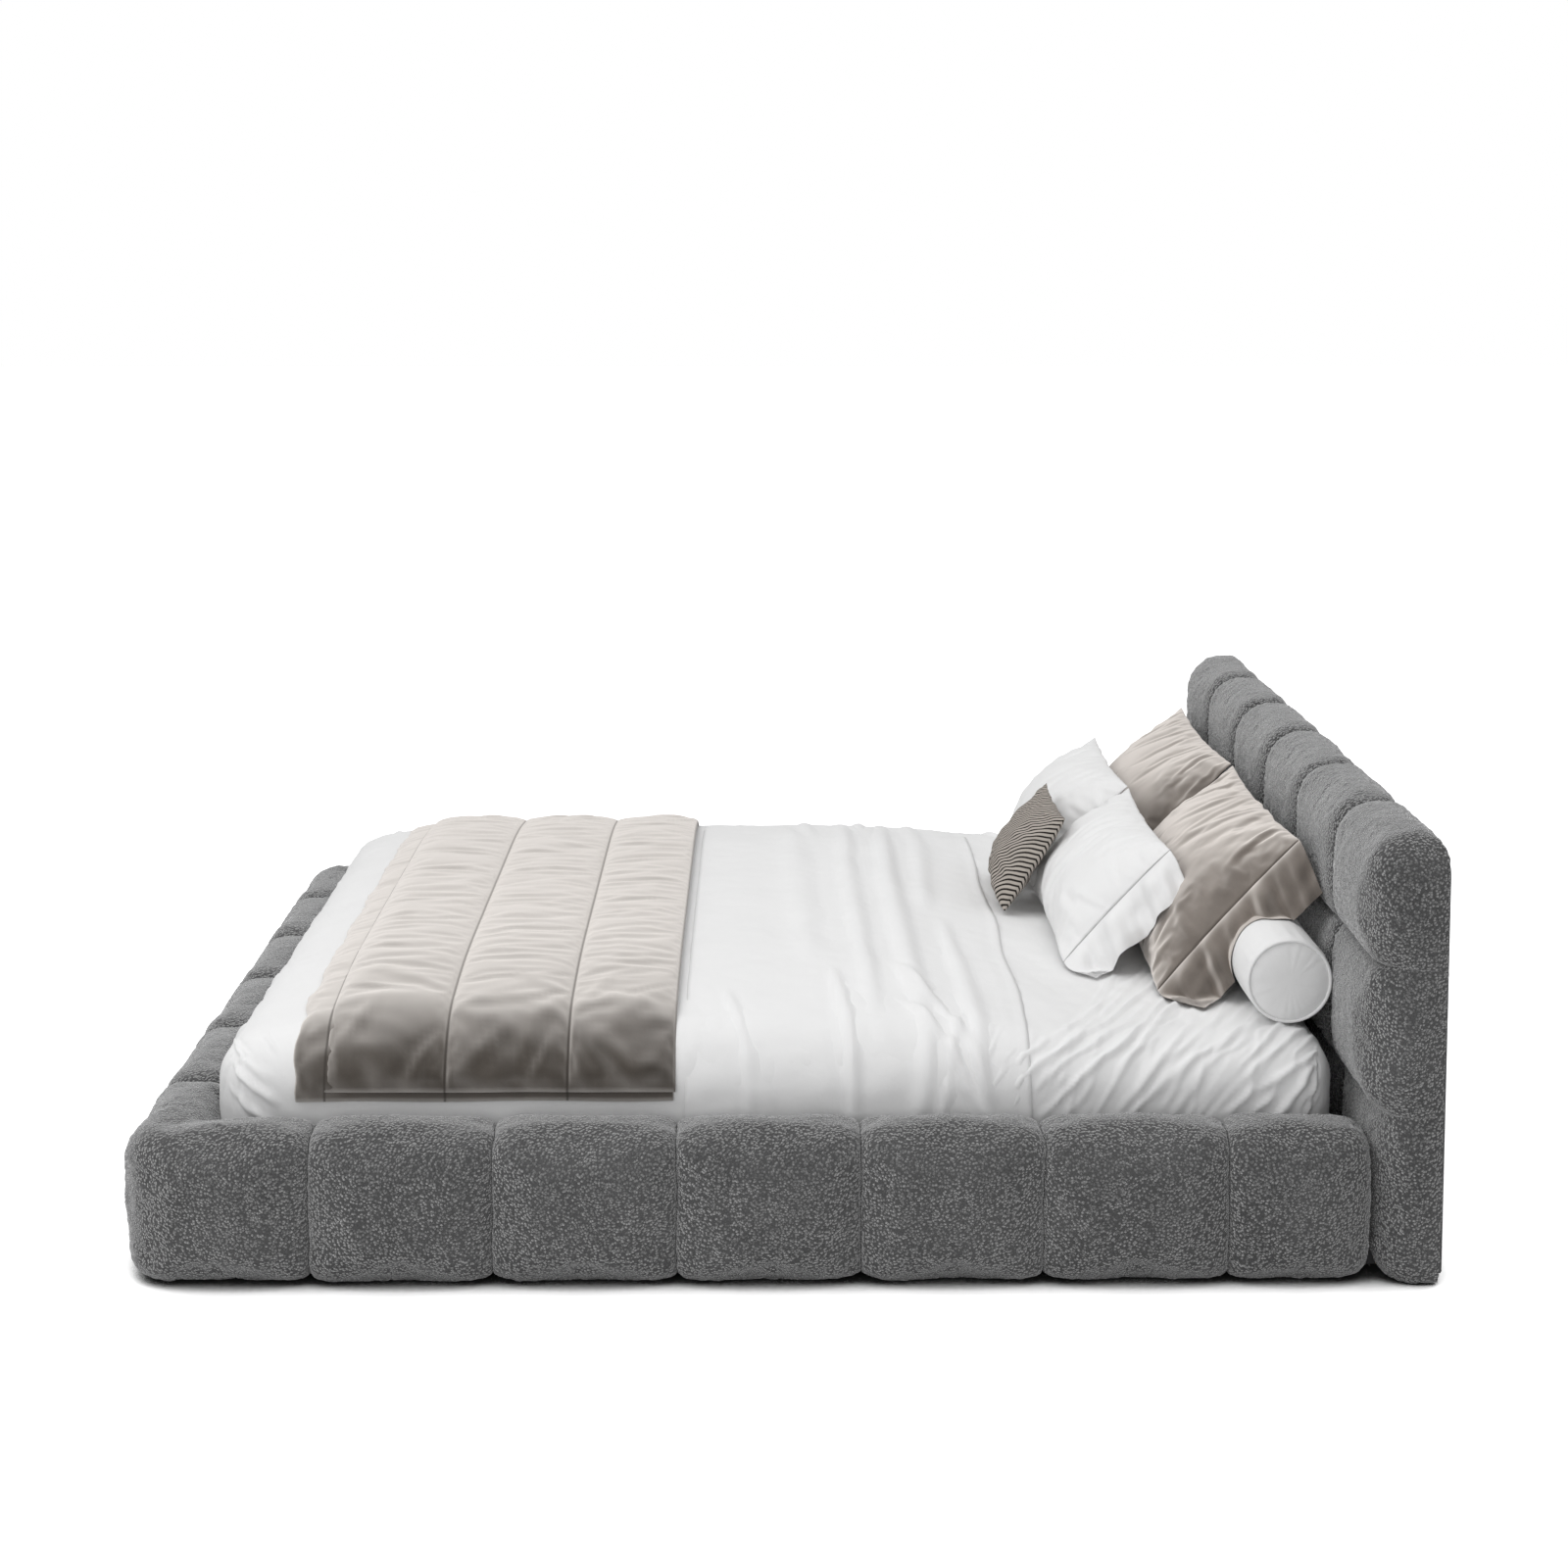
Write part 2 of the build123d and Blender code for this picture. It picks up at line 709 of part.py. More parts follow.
# Quilted throw: a folded underlayer that shows at the foot side, then three sewn channels
# A level is (place along the bed, thickness).
throw_under = linen + 1
throw_bottom = 284.0
throw_levels = (
    (-850, 9),
    (-800, 11),
    (-796, 20),
    (-770, 28),
    (-690, 32),
    (-612, 28),
    (-586, 15),
    (-560, 28),
    (-480, 32),
    (-398, 28),
    (-372, 15),
    (-346, 28),
    (-276, 31),
    (-210, 26),
    (-183, 16),
)
with BuildPart() as throw:
    for place, thickness in throw_levels:
        with BuildSketch(Plane.XZ.offset(-place)):
            with BuildLine():
                Polyline(*bed_band(throw_under + thickness, throw_under, throw_bottom), close=True)
            make_face()
    loft(ruled=True)
keep("throw", throw.part)


# Pillows: lens sections along the length, drawn in at the middle, and a flat open flap of the case
# A station is (share of the length, share of the crown, share of the height).
pillow_stations = (
    (0.0, 0.05, 1.0),
    (0.12, 0.66, 0.97),
    (0.5, 1.0, 0.94),
    (0.88, 0.66, 0.97),
    (1.0, 0.05, 1.0),
)
front_chords = 4
back_chords = 2


def lens(half, front, back):
    """Corner points of a lens section: chords of a full front and a flatter back."""
    over = [1 - 2 * step / front_chords for step in range(front_chords)]
    under = [2 * step / back_chords - 1 for step in range(back_chords)]
    rise = [(half * t, front * (1 - t * t)) for t in over]
    fall = [(half * t, -back * (1 - t * t)) for t in under]
    return [*rise, *fall]


def pillow(start_x, length, bottom, top, front, back, flap=0.0):
    """A pillow leaning back, from its bottom edge to its top edge, each given as (y, z)."""
    low = Vector(start_x, *bottom)
    rise = Vector(start_x, *top) - low
    height = rise.length
    section = Plane(low + rise / 2, x_dir=rise, z_dir=(1, 0, 0))
    stations = [(share * length, full, tall) for share, full, tall in pillow_stations]
    if flap:
        stations.append((length + flap, pillow_stations[-1][1], pillow_stations[-1][2]))
    with BuildPart() as cushion:
        for along, full, tall in stations:
            with BuildSketch(section.offset(along)):
                with BuildLine():
                    Polyline(*lens(height / 2 * tall, front * full, back * full), close=True)
                make_face()
        loft(ruled=True)
    return cushion.part


beige_lean = ((703, 391), (965, 680))
white_lean = ((549, 391), (756, 616))
keep("beige_pillow_right", pillow(-130, 655, *beige_lean, front=80, back=22, flap=115))
keep("beige_pillow_left", pillow(-780, 640, *beige_lean, front=80, back=22))
keep("white_pillow_right", pillow(-200, 545, *white_lean, front=76, back=20, flap=105))
keep("white_pillow_left", pillow(-745, 535, *white_lean, front=76, back=20))
keep("striped_cushion", pillow(-338, 345, (479, 397), (606, 597), front=62, back=12))

# Bolster: a tight round roll with piped ends
bolster_radius = 78.0
bolster_half_length = 710.0
bolster_y = 912.0
bolster_lift = 6.0
bolster_z = mattress_top + linen + bolster_lift + bolster_radius
piping = 3.0
bolster_end_round = 12.0
with BuildPart() as bolster:
    with BuildSketch(Plane((0, bolster_y, bolster_z), x_dir=(0, 1, 0), z_dir=(0, 0, 1))):
        with BuildLine():
            Polyline(
                (0, bolster_half_length),
                (bolster_radius - bolster_end_round, bolster_half_length - piping),
                (bolster_radius, bolster_half_length - bolster_end_round),
                (bolster_radius, bolster_end_round - bolster_half_length),
                (bolster_radius - bolster_end_round, piping - bolster_half_length),
                (0, -bolster_half_length),
                close=True,
            )
        make_face()
    revolve(axis=Axis((0, bolster_y, bolster_z), (1, 0, 0)))
keep("bolster", bolster.part)

for name, part in pieces.items():
    export_step(part, f"parts/{name}.step")
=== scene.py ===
import json
import math
from collections import namedtuple

import bmesh
import bpy
import numpy as np
from mathutils import Matrix, Vector

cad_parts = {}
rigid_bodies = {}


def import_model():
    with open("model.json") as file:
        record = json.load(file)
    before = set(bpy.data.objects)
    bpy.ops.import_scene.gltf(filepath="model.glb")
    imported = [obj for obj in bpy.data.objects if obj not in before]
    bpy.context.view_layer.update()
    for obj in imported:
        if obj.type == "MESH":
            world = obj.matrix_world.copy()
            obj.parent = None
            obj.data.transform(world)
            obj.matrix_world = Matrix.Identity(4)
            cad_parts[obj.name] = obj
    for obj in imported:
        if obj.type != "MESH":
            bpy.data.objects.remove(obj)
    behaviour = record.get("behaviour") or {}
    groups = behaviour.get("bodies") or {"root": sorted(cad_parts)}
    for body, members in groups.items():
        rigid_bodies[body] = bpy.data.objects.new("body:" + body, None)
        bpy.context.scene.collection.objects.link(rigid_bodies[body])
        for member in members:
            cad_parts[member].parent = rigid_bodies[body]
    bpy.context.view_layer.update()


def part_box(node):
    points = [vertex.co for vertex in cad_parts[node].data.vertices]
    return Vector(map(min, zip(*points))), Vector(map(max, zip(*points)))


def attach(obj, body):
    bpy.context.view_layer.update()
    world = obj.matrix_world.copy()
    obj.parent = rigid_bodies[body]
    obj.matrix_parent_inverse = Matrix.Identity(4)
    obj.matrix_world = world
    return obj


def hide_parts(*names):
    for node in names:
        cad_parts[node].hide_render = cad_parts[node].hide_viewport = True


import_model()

bl_info = {
    "name": "Upholstered Bed",
    "version": (1, 0, 0),
    "blender": (4, 5, 0),
    "location": "View3D > Sidebar > Bed",
    "description": "Dresses a low block-upholstered bed with looped cloth, linen, a throw and pillows",
    "category": "Object",
}

# Places in the shared frame, in metres: X across the bed, Y towards the headboard, Z up
HALF_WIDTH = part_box("foot_pad")[1][0]
FOOT_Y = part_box("foot_pad")[0][1]
RAIL_LOW, RAIL_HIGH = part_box("right_rail_pad")
RAIL_INNER, RAIL_START = RAIL_LOW[0], RAIL_LOW[1]
RAIL_END, RAIL_TOP = RAIL_HIGH[1], RAIL_HIGH[2]
FOOT_INNER = FOOT_Y + HALF_WIDTH - RAIL_INNER
PANEL_LOW, PANEL_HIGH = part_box("headboard_back_panel")
PANEL_FRONT = PANEL_LOW[1]
TIMBER_LOW, TIMBER_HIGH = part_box("headboard_timbers")
PLY_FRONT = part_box("headboard_plywood")[0][1]
BOARD_LOW, BOARD_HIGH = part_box("right_rail_board")
MATTRESS_LOW, MATTRESS_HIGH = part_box("mattress")
MATTRESS_TOP = MATTRESS_HIGH[2]
FITTED_LOW, FITTED_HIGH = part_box("fitted_sheet")
TOP_SHEET_LOW, TOP_SHEET_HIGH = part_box("top_sheet")
THROW_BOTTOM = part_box("throw")[0][2]
BOLSTER_LOW, BOLSTER_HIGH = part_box("bolster")
# covers hang this far below the foam's solids, and stop this far above the floor
COVER_HANG = 0.008
FLOOR_GAP = 0.0025
PAD_BOTTOM = RAIL_LOW[2] - COVER_HANG
# rooms that are cut out of pads reach from here, below the floor, to here, past the bed's ends
BELOW_FLOOR = -0.1
PAST_BED = 2


class BedSizes(bpy.types.PropertyGroup):
    block_pitch: bpy.props.FloatProperty(
        name="Block pitch", description="Width of one foam block between its seams",
        default=0.315, min=0.1, unit="LENGTH")
    seam_reach: bpy.props.FloatProperty(
        name="Seam reach", description="How far from a seam the foam begins to round over",
        default=0.05, min=0.005, unit="LENGTH")
    seam_depth: bpy.props.FloatProperty(
        name="Seam depth", description="How deep the cover is drawn in at a seam",
        default=0.017, min=0.0, unit="LENGTH")
    foam_swell: bpy.props.FloatProperty(
        name="Foam swell", description="Most that a foam block may swell when it is blown up",
        default=0.008, min=0.0, unit="LENGTH")
    foam_voxel: bpy.props.FloatProperty(
        name="Foam voxel", description="Size of the mesh cells on the foam blocks",
        default=0.006, min=0.002, unit="LENGTH")
    pillow_cell: bpy.props.FloatProperty(
        name="Pillow cell", description="Size of the cloth cells of a pillow before it is filled",
        default=0.0078, min=0.003, unit="LENGTH")
    throw_cell: bpy.props.FloatProperty(
        name="Throw cell", description="Size of the cloth cells of the throw",
        default=0.0075, min=0.003, unit="LENGTH")


class BedColours(bpy.types.PropertyGroup):
    # painted shade: the looped cloth's colour in the hollows between its loops
    loop_dark: bpy.props.FloatVectorProperty(
        name="Loop shade", description="Looped cloth between its loops",
        default=(0.036, 0.036, 0.037), min=0, max=1, subtype="COLOR")
    # painted highlight: the looped cloth's colour on the tops of its loops
    loop_light: bpy.props.FloatVectorProperty(
        name="Loop", description="Looped cloth on top of its loops",
        default=(0.46, 0.46, 0.463), min=0, max=1, subtype="COLOR")
    linen: bpy.props.FloatVectorProperty(
        name="Linen", description="White bed linen",
        default=(0.84, 0.84, 0.84), min=0, max=1, subtype="COLOR")
    taupe: bpy.props.FloatVectorProperty(
        name="Taupe velvet", description="Velvet of the throw",
        default=(0.068, 0.058, 0.049), min=0, max=1, subtype="COLOR")
    beige: bpy.props.FloatVectorProperty(
        name="Beige velvet", description="Velvet of the beige pillows",
        default=(0.185, 0.161, 0.142), min=0, max=1, subtype="COLOR")
    # painted sheen: the colours that the velvets are blended to where they turn from the viewer
    taupe_painted_sheen: bpy.props.FloatVectorProperty(
        name="Taupe edge", description="Taupe velvet where its pile turns away",
        default=(0.86, 0.815, 0.775), min=0, max=1, subtype="COLOR")
    beige_painted_sheen: bpy.props.FloatVectorProperty(
        name="Beige edge", description="Beige velvet where its pile turns away",
        default=(0.79, 0.735, 0.69), min=0, max=1, subtype="COLOR")
    stripe_light: bpy.props.FloatVectorProperty(
        name="Stripe ground", description="Ground of the striped cushion",
        default=(0.50, 0.455, 0.41), min=0, max=1, subtype="COLOR")
    stripe_dark: bpy.props.FloatVectorProperty(
        name="Stripe", description="Dark lines of the striped cushion",
        default=(0.02, 0.017, 0.015), min=0, max=1, subtype="COLOR")
    timber: bpy.props.FloatVectorProperty(
        name="Timber", description="Sawn softwood of the frame",
        default=(0.46, 0.29, 0.15), min=0, max=1, subtype="COLOR")


def sizes():
    return bpy.context.scene.bed_sizes


def colours():
    return bpy.context.scene.bed_colours


def points_of(mesh):
    """The mesh's points as an array of rows."""
    flat = np.empty(3 * len(mesh.vertices))
    mesh.vertices.foreach_get("co", flat)
    return flat.reshape(-1, 3)


def normals_of(mesh):
    """The mesh's point normals as an array of rows."""
    flat = np.empty(3 * len(mesh.vertices))
    mesh.vertex_normals.foreach_get("vector", flat)
    return flat.reshape(-1, 3)


def move_points(mesh, points):
    mesh.vertices.foreach_set("co", np.ascontiguousarray(points, dtype=np.float32).ravel())
    mesh.update()


def scratch(name, bm):
    """A working object from a bmesh, which is freed."""
    mesh = bpy.data.meshes.new(name)
    bm.to_mesh(mesh)
    bm.free()
    obj = bpy.data.objects.new(name, mesh)
    bpy.context.scene.collection.objects.link(obj)
    return obj


def drop(*objects):
    """Delete working objects with their meshes."""
    for obj in objects:
        mesh = obj.data
        bpy.data.objects.remove(obj)
        bpy.data.meshes.remove(mesh)


def apply_modifiers(obj):
    """Swap the object's mesh for the one that its modifiers make."""
    graph = bpy.context.evaluated_depsgraph_get()
    mesh = bpy.data.meshes.new_from_object(obj.evaluated_get(graph))
    old = obj.data
    obj.modifiers.clear()
    obj.data = mesh
    bpy.data.meshes.remove(old)


def finish_piece(obj, body, slot, material, *nodes):
    """Give a piece its body and material, and let it stand for its CAD nodes; its slot is not used."""
    obj.data.shade_smooth()
    obj.data.materials.clear()
    obj.data.materials.append(material)
    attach(obj, body)
    if nodes:
        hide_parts(*nodes)
    return obj


def waves(points, length, seed, count=7):
    """Smooth wandering values between about -1 and 1, for rows of points."""
    draw = np.random.default_rng(seed)
    total = np.zeros(len(points))
    for _ in range(count):
        direction = draw.normal(size=points.shape[1])
        direction /= np.linalg.norm(direction)
        turn = 2 * math.pi / (length * draw.uniform(0.7, 1.5))
        total += np.sin(points @ direction * turn + draw.uniform(0, 2 * math.pi))
    return total / math.sqrt(count)


def wander(points, length, amount, seed):
    """Move points by a field that varies slowly from place to place."""
    shift = [waves(points, length, seed + k) for k in range(3)]
    return points + amount * np.stack(shift, axis=1)


def smooth_step(low, high, values):
    t = np.clip((values - low) / (high - low), 0, 1)
    return t * t * (3 - 2 * t)


def crease(points, path, width, height, fade=0.25):
    """How far a soft fold along a path lifts each point; it fades out at both ends."""
    path = np.asarray(path, dtype=float)
    steps = np.diff(path, axis=0)
    lengths = np.linalg.norm(steps, axis=1)
    starts = np.concatenate([[0], np.cumsum(lengths)])
    best = np.full(len(points), np.inf)
    place = np.zeros(len(points))
    for a, step, length, start in zip(path, steps, lengths, starts):
        along = np.clip((points - a) @ step / length**2, 0, 1)
        away = np.linalg.norm(points - a - along[:, None] * step, axis=1)
        near = away < best
        best[near] = away[near]
        place[near] = (start + along[near] * length) / starts[-1]
    ends = np.clip(np.minimum(place, 1 - place) / fade, 0, 1)
    spread = width * (0.6 + 0.4 * np.sin(place * math.pi))
    ridge = np.exp(-((best / spread) ** 2))
    valley = 0.4 * np.exp(-(((best - 1.9 * spread) / spread) ** 2))
    return height * np.sin(ends * math.pi / 2) * (ridge - valley)


# Cloth that is blown up

def simulate(objects, frames):
    """Run the cloth on all the objects at once, and return each one's points."""
    scene = bpy.context.scene
    for obj in objects:
        cache = obj.modifiers["Cloth"].point_cache
        cache.frame_start, cache.frame_end = 1, frames
    for number in range(1, frames + 1):
        scene.frame_set(number)
    graph = bpy.context.evaluated_depsgraph_get()
    shapes = [points_of(obj.evaluated_get(graph).data) for obj in objects]
    for obj in objects:
        obj.modifiers.clear()
    scene.frame_set(1)
    return shapes


def make_cloth(obj, pinned, pressure, stretch=15.0, bend=0.5, mass=0.3, shrink=0.0, quality=5):
    """Give the object cloth that air pushes outwards, with no weight, held at its pinned points."""
    seams = obj.vertex_groups.new(name="seams")
    seams.add([int(i) for i in np.flatnonzero(pinned)], 1.0, "REPLACE")
    modifier = obj.modifiers.new("Cloth", "CLOTH")
    modifier.collision_settings.use_collision = False
    cloth = modifier.settings
    cloth.quality = quality
    cloth.mass = mass
    cloth.tension_stiffness = stretch
    cloth.compression_stiffness = stretch
    cloth.shear_stiffness = stretch / 3
    cloth.bending_stiffness = bend
    cloth.air_damping = 2.0
    cloth.shrink_min = shrink
    cloth.use_pressure = True
    cloth.uniform_pressure_force = pressure
    cloth.effector_weights.gravity = 0
    cloth.vertex_group_mass = seams.name


# Foam blocks under a tight cover

def block_mesh(bm, low, high):
    """A box between two corners."""
    size = [b - a for a, b in zip(low, high)]
    middle = [(a + b) / 2 for a, b in zip(low, high)]
    made = bmesh.ops.create_cube(bm, size=1.0)["verts"]
    bmesh.ops.scale(bm, vec=size, verts=made)
    bmesh.ops.translate(bm, vec=middle, verts=made)


def round_edge(bm, offset, chosen):
    """Bevel the edges that a test of their two ends picks."""
    edges = [e for e in bm.edges if all(chosen(v.co) for v in e.verts)]
    bmesh.ops.bevel(bm, geom=edges, offset=offset, segments=7, profile=0.5, affect="EDGES",
                    material=-1, clamp_overlap=True)


def near(value, target):
    return abs(value - target) < 1e-5


def remesh(obj, voxel):
    """Cover the object with even cells."""
    cells = obj.modifiers.new("Cells", "REMESH")
    cells.mode = "VOXEL"
    cells.voxel_size = voxel
    apply_modifiers(obj)


def round_off(points, rounds):
    """Round a box where its faces meet; rounds holds (axis, face, signed reach inwards) of each face.

    The reach is negative on a high face and positive on a low one.
    """
    core, share = points.copy(), np.zeros_like(points)
    reaches = np.ones(3)
    for axis, face, reach in rounds:
        start = face + reach
        past = (points[:, axis] - start) / -reach
        chosen = past > 0
        core[chosen, axis] = start
        share[chosen, axis] = -reach * past[chosen]
        reaches[axis] = abs(reach)
    length = np.linalg.norm(share / reaches, axis=1, keepdims=True)
    return core + share / np.maximum(length, 1)


def draw_in(points, axis, end, reach, depth, sections):
    """Draw the cover in towards the seam at one end of an axis.

    A section is (axis, low, high, share at the low side, share at the high side).
    """
    t = np.clip(1 - np.abs(points[:, axis] - end) / reach, 0, 1)
    drawn = depth * (1 - np.sqrt(1 - t * t))
    for across, low, high, low_share, high_share in sections:
        middle, half = (low + high) / 2, (high - low) / 2
        away = points[:, across] - middle
        share = np.where(away < 0, low_share, high_share)
        points[:, across] = middle + away * (1 - drawn * share / half)


def swell(blocks, pins):
    """Blow foam blocks up a little inside their own seams."""
    for block, pinned in zip(blocks, pins):
        make_cloth(block, pinned, pressure=4.0, quality=4)
    starts = [points_of(block.data) for block in blocks]
    most = sizes().foam_swell
    for block, start, end in zip(blocks, starts, simulate(blocks, 14)):
        move = end - start
        far = np.linalg.norm(move, axis=1, keepdims=True)
        move *= np.minimum(1, most / np.maximum(far, 1e-9))
        move_points(block.data, start + move)


def stamp(bm, mesh, matrix):
    """Add a placed copy of a mesh; a mirrored copy has its faces turned back outwards."""
    verts, faces = len(bm.verts), len(bm.faces)
    bm.from_mesh(mesh)
    bm.verts.ensure_lookup_table()
    bm.faces.ensure_lookup_table()
    bmesh.ops.transform(bm, matrix=matrix, verts=bm.verts[verts:])
    if matrix.determinant() < 0:
        bmesh.ops.reverse_faces(bm, faces=bm.faces[faces:])


def stamp_part(bm, part, matrix):
    """Add a placed copy of another bmesh, which is freed."""
    mesh = bpy.data.meshes.new("part")
    part.to_mesh(mesh)
    part.free()
    stamp(bm, mesh, matrix)
    bpy.data.meshes.remove(mesh)


def cut_rooms(obj, rooms):
    """Cut the rooms for boards and timbers out of a pad."""
    cutters = []
    for low, high in rooms:
        bm = bmesh.new()
        block_mesh(bm, low, high)
        cutter = scratch("room", bm)
        cut = obj.modifiers.new("Room", "BOOLEAN")
        cut.operation = "DIFFERENCE"
        cut.solver = "MANIFOLD"
        cut.object = cutter
        cutters.append(cutter)
    apply_modifiers(obj)
    drop(*cutters)


RAIL_DEPTH = HALF_WIDTH - RAIL_INNER
RAIL_SPAN = RAIL_TOP - PAD_BOTTOM
SEAM_GAP = 0.0004
# a block starts this much smaller than its solid, because it swells
COVER_ROOM = 0.004
# points this close to a seam stay sewn down while the block swells
SEWN = 0.004
# how round a rail block is along its edges
OUTER_ROUND = 0.052
INNER_ROUND = 0.034
LOWER_ROUND = 0.036
HIDDEN_ROUND = 0.008
CORNER_ROUND = 0.078
# how much of a seam's depth the inner, outer, lower and upper faces take up
INNER_SHARE, OUTER_SHARE, LOWER_SHARE, UPPER_SHARE = 0.5, 1, 0.6, 1
# the free end of a rail is drawn in further than a seam, but not into its board
FREE_REACH = 0.06
FREE_DEPTH = 0.034
BOARD_FACE = BOARD_HIGH[0] - RAIL_INNER


def rail_block(name, width, free_end=False):
    """A straight block of the rails: x along its seams, y from the mattress outwards, z up."""
    depth, span = RAIL_DEPTH - COVER_ROOM, RAIL_SPAN - COVER_ROOM
    half = width / 2 - SEAM_GAP
    bm = bmesh.new()
    block_mesh(bm, (-half, 0, 0), (half, depth, span))
    for offset, y, z in ((OUTER_ROUND, depth, span), (INNER_ROUND, 0, span),
                         (LOWER_ROUND, depth, 0), (HIDDEN_ROUND, 0, 0)):
        round_edge(bm, offset, lambda p: near(p.y, y) and near(p.z, z))
    block = scratch(name, bm)
    remesh(block, sizes().foam_voxel)
    points = points_of(block.data)
    reach, dip = sizes().seam_reach, sizes().seam_depth
    across = (1, 0, depth, INNER_SHARE, OUTER_SHARE)
    sections = (across, (2, 0, span, LOWER_SHARE, UPPER_SHARE))
    draw_in(points, 0, -half, reach, dip, sections)
    if free_end:
        outer = points[:, 1] > BOARD_FACE
        draw_in(points, 0, half, FREE_REACH, FREE_DEPTH, (across, (2, 0, span, 1, 1)))
        points[outer, 1] = np.maximum(points[outer, 1], BOARD_FACE + COVER_ROOM)
    else:
        draw_in(points, 0, half, reach, dip, sections)
    move_points(block.data, points)
    pinned = np.abs(points[:, 0]) > half - SEWN
    return block, pinned


def corner_block(name):
    """The block that wraps the foot corner on the +X side, in place."""
    span = RAIL_SPAN - COVER_ROOM
    side, front = HALF_WIDTH - COVER_ROOM, FOOT_Y + COVER_ROOM
    start_x = HALF_WIDTH - sizes().block_pitch + SEAM_GAP
    end_y = RAIL_START - SEAM_GAP
    bottom, top = PAD_BOTTOM, PAD_BOTTOM + span
    bm = bmesh.new()
    block_mesh(bm, (start_x, front, bottom), (side, FOOT_INNER, top))
    bmesh.ops.bisect_plane(bm, geom=[*bm.verts, *bm.edges, *bm.faces], plane_co=(RAIL_INNER, 0, 0),
                           plane_no=(1, 0, 0), dist=1e-6)
    leg = [f for f in bm.faces if f.normal.y > 0.5 and f.calc_center_median().x > RAIL_INNER]
    grown = bmesh.ops.extrude_face_region(bm, geom=leg)
    moved = [g for g in grown["geom"] if isinstance(g, bmesh.types.BMVert)]
    bmesh.ops.translate(bm, vec=(0, end_y - FOOT_INNER, 0), verts=moved)
    bmesh.ops.delete(bm, geom=leg, context="FACES")
    bmesh.ops.recalc_face_normals(bm, faces=bm.faces)

    def outside(p):
        wrapped = p.x > side - CORNER_ROUND - 5e-4 and p.y < front + CORNER_ROUND + 5e-4
        return wrapped or near(p.x, side) or near(p.y, front)

    def in_well(p):
        on_leg = near(p.x, RAIL_INNER) and p.y > FOOT_INNER - 1e-4
        return on_leg or near(p.y, FOOT_INNER) and p.x < RAIL_INNER + 1e-4

    round_edge(bm, CORNER_ROUND, lambda p: near(p.x, side) and near(p.y, front))
    round_edge(bm, OUTER_ROUND, lambda p: outside(p) and near(p.z, top))
    round_edge(bm, LOWER_ROUND, lambda p: outside(p) and near(p.z, bottom))
    round_edge(bm, INNER_ROUND, lambda p: in_well(p) and near(p.z, top))
    block = scratch(name, bm)
    remesh(block, sizes().foam_voxel)
    points = points_of(block.data)
    heights = (2, bottom, top, LOWER_SHARE, UPPER_SHARE)
    arms = (
        (points[:, 0] < RAIL_INNER - 0.02, 0, start_x, (1, front, FOOT_INNER, OUTER_SHARE, INNER_SHARE)),
        (points[:, 1] > FOOT_INNER + 0.02, 1, end_y, (0, RAIL_INNER, side, INNER_SHARE, OUTER_SHARE)),
    )
    for chosen, axis, seam, across in arms:
        arm = points[chosen]
        draw_in(arm, axis, seam, sizes().seam_reach, sizes().seam_depth, (across, heights))
        points[chosen] = arm
    move_points(block.data, points)
    pinned = (points[:, 0] < start_x + SEWN) | (points[:, 1] > end_y - SEWN)
    return block, pinned


# Wandering of the covers: length, amount and seed
COVER_WANDER = ((0.16, 0.0013, 3), (0.045, 0.0005, 13), (0.019, 0.0007, 23))


def pad_piece(name, node, stamps, rooms):
    """Place the copies of the blocks, cut their rooms, let the cover wander a little and finish the pad."""
    bm = bmesh.new()
    for mesh, matrix in stamps:
        stamp(bm, mesh, matrix)
    pad = scratch(name, bm)
    cut_rooms(pad, rooms)
    points = points_of(pad.data)
    for length, amount, seed in COVER_WANDER:
        points = wander(points, length, amount, seed)
    points[:, 2] = np.maximum(points[:, 2], FLOOR_GAP)
    move_points(pad.data, points)
    finish_piece(pad, "bed_frame", "boucle", loop_cloth(), node)


def turn_to(x_axis, y_axis, place):
    """The matrix that lays a block's x and y along two world directions."""
    rows = Matrix((x_axis, y_axis, (0, 0, 1))).transposed()
    return Matrix.Translation(place) @ rows.to_4x4()


BOARD_CLEAR = 0.0005
LINING_CLEAR = 0.0003
# a pad's inner flap ends at this height, above the ledgers
FLAP_LOW = BOARD_LOW[2] + 0.141


def grow(low, high, amount):
    return [a - amount for a in low], [b + amount for b in high]


def board_lining(board, low, high, outwards):
    """Dark cloth pulled over a board's outer face and its lower edge; its dark also stands as painted shade
    in the gap where the rail meets the headboard.
    """
    low, high = grow(low, high, LINING_CLEAR)
    bm = bmesh.new()
    block_mesh(bm, low, high)
    bare = [f for f in bm.faces if f.normal.dot(Vector(outwards)) < 0.5 and f.normal.z > -0.5]
    bmesh.ops.delete(bm, geom=bare, context="FACES")
    lining = scratch(f"{board}_lining", bm)
    finish_piece(lining, "bed_frame", "backing_cloth", backing_material())


